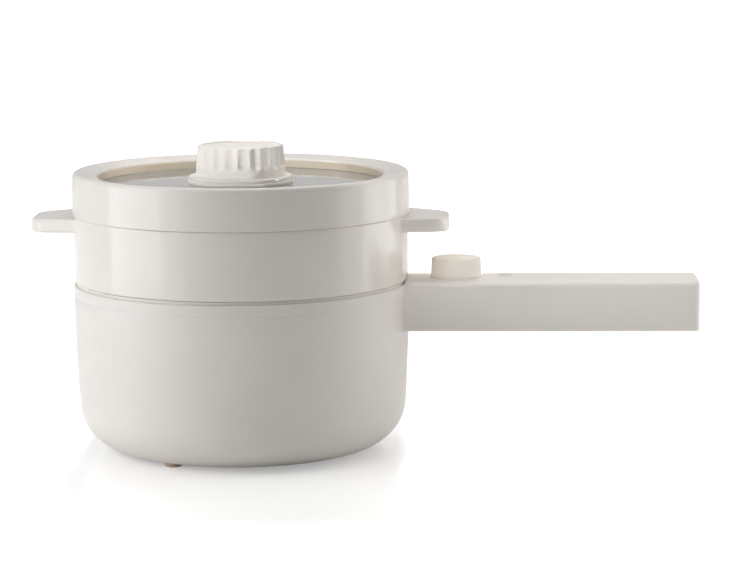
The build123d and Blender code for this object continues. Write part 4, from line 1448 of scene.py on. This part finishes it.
@dataclass
class Studio:
    """Camera, lamps, white surroundings and a pale floor that keeps the shadow."""

    lens: float = 138.525
    sensor: float = 36.0
    clip: tuple[float, float] = (0.01, 50.0)
    place: Triple = (0.122, -1.6544, 0.344)
    yaw: float = -1.685
    pitch: float = 8.655
    roll: float = -0.328
    ambient: float = 0.02
    room_white: float = 0.55
    floor_reach: float = 6.0
    mirror_half: tuple[float, float] = (0.092, 0.2)
    mirror_fade: tuple[float, float] = (1.0, 1.25)
    floor_glow: tuple[float, float] = (0.33, 1.0)
    floor_sheen: tuple[float, float] = (0.5, 0.0)
    floor_rough: float = 0.12
    floor_tint: Colour = ink(250, 250, 249)
    lamps: tuple[Softbox, ...] = (
        Softbox.upright("left_front_panel", 44.0, 0.92),
        Softbox.upright("left_panel", 60.0, 2.2, (0.98, 1.0, 1.03)),
        Softbox.upright("left_side_panel", 80.0, 2.15, (0.96, 0.99, 1.05)),
        Softbox.upright("right_side_panel", -80.0, 1.0),
        Softbox.upright("right_panel", -100.0, 2.22),
        Softbox.upright("right_rear_panel", -120.0, 1.26),
        Softbox("top_box", (0.1, 0.0, 1.7), (0.1, 0.0, 0.0), (1.6, 1.6), 10.3),
        Softbox("top_rear_box", (0.1, 1.0, 1.3), (0.1, 0.0, 0.1), (1.6, 0.8), 5.3),
        Softbox("lid_beam", (0.0, -1.1, 0.75), (0.0, 0.02, 0.165), (0.12, 0.02), 0.0101, 4.0),
        Softbox("seal_beam_left", (-0.056, -1.1, 0.75), (-0.056, 0.02, 0.164), (0.045, 0.05), 0.0038, 2.0),
        Softbox("seal_beam_right", (0.056, -1.1, 0.75), (0.056, 0.02, 0.164), (0.045, 0.05), 0.0014, 2.0),
        Softbox("handle_beam", (0.185, -1.1, 0.65), (0.185, 0.0, 0.09), (0.185, 0.06), 0.0071, 3.0),
        Softbox("dial_beam", (-0.05, -1.0, 0.6), (0.118, 0.0, 0.104), (0.045, 0.02), 0.0006, 2.0),
        Softbox("knob_beam", (0.0, -1.1, 0.5), (0.0, -0.026, 0.177), (0.03, 0.015), 0.00045, 2.0),
        Softbox("corner_beam", (-0.75, -0.9, 0.02), (-0.05, -0.06, 0.008), (0.12, 0.02), 0.0013, 4.0),
    )

    def build_camera(self) -> None:
        """Camera that looks along +Y, rolled, then pitched down, then turned right by yaw."""
        data = bpy.data.cameras.new("photo_camera")
        data.sensor_fit = "HORIZONTAL"
        data.sensor_width = self.sensor
        data.lens = self.lens
        data.clip_start, data.clip_end = self.clip
        yaw, pitch, roll = (math.radians(angle) for angle in (self.yaw, self.pitch, self.roll))
        turn = Matrix.Rotation(-yaw, 4, "Z") @ Matrix.Rotation(QUARTER - pitch, 4, "X")
        camera = placed("photo_camera", data)
        camera.matrix_world = Matrix.Translation(self.place) @ turn @ Matrix.Rotation(roll, 4, "Z")
        bpy.context.scene.camera = camera

    def seen_white(self, sheet: NodeSheet) -> Socket:
        """How white the surroundings look along a ray, and nothing where the ray lights a matt surface.

        Camera rays and rays through glass see full white, mirrored rays see the room's dimmer white,
        and after a diffuse bounce there is none.

        Args:
            sheet: Node tree that gets the nodes.

        Returns:
            The white's strength.
        """
        ray = sheet.node("LightPath").outputs
        seen = sheet.math("MAXIMUM", ray["Is Camera Ray"], ray["Is Transmission Ray"])
        mirrored = sheet.math("MULTIPLY", ray["Is Glossy Ray"], self.room_white)
        bounced = sheet.math("MINIMUM", ray["Diffuse Depth"], 1.0)
        direct = sheet.math("SUBTRACT", 1.0, bounced)
        return sheet.math("MULTIPLY", sheet.math("MAXIMUM", seen, mirrored), direct)

    def build_world(self) -> None:
        """White surroundings where they are seen, over a plain ambient level that lights the object."""
        world = bpy.data.worlds.new("white_room")
        world.use_nodes = True
        bpy.context.scene.world = world
        sheet = NodeSheet(world.node_tree)
        strength = sheet.math("MAXIMUM", self.seen_white(sheet), self.ambient)
        sheet.fill(sheet.tree.nodes["Background"], Color=(*WHITE, 1.0), Strength=strength)

    def floor_finish(self) -> bpy.types.Material:
        """Floor's material: it keeps shadow and reflection, and adds white of its own where it is seen.

        Inside a rectangle under the pot the floor mirrors it. Beyond the rectangle, measured as the
        larger of |x| and |y| in its half sizes, the mirror fades and the added white grows, so that
        the floor runs out into the white surroundings.

        Returns:
            The material.
        """
        material = bpy.data.materials.new("floor_white")
        material.use_nodes = True
        sheet = NodeSheet(material.node_tree)
        nodes = sheet.tree.nodes
        place = sheet.node("SeparateXYZ", Vector=sheet.place()).outputs
        across, deep = (
            sheet.math("ABSOLUTE", sheet.math("DIVIDE", place[axis], half))
            for axis, half in zip("XY", self.mirror_half)
        )
        apart = sheet.math("MAXIMUM", across, deep)
        sheen = sheet.spread(apart, *self.floor_sheen, self.mirror_fade)
        shader = sheet.fill(nodes["Principled BSDF"], Base_Color=self.floor_tint, Roughness=self.floor_rough)
        sheet.fill(shader, Specular_IOR_Level=sheen)
        glow = sheet.spread(apart, *self.floor_glow, self.mirror_fade)
        white = sheet.node("Emission", Strength=sheet.math("MULTIPLY", glow, self.seen_white(sheet)))
        both = sheet.node("AddShader")
        for part, socket in zip((shader, white), both.inputs):
            sheet.feed(socket, part.outputs[0])
        sheet.fill(nodes["Material Output"], Surface=both.outputs[0])
        return material

    def build_floor(self) -> None:
        """Pale floor, as one square."""
        reach = self.floor_reach
        corners = [(-reach, -reach, 0), (reach, -reach, 0), (reach, reach, 0), (-reach, reach, 0)]
        mesh = bpy.data.meshes.new("floor")
        mesh.from_pydata(corners, [], [(0, 1, 2, 3)])
        mesh.materials.append(self.floor_finish())
        floor = placed("floor", mesh)

    def build(self) -> None:
        """Builds the studio."""
        bpy.context.scene.view_settings.view_transform = "Standard"
        self.build_camera()
        self.build_world()
        self.build_floor()
        for lamp in self.lamps:
            lamp.make()


def main() -> None:
    """Builds the object's sub-assemblies and the studio."""
    logging.basicConfig(level=logging.INFO, format="%(name)s: %(message)s")
    wardrobe = Wardrobe()
    pot = PotBody(wardrobe)
    for assembly in (pot, Handle(wardrobe, pot), SteamerTier(wardrobe), Lid(wardrobe), Studio()):
        LOG.info("building %s", type(assembly).__name__)
        assembly.build()


if __name__ == "__main__":
    main()
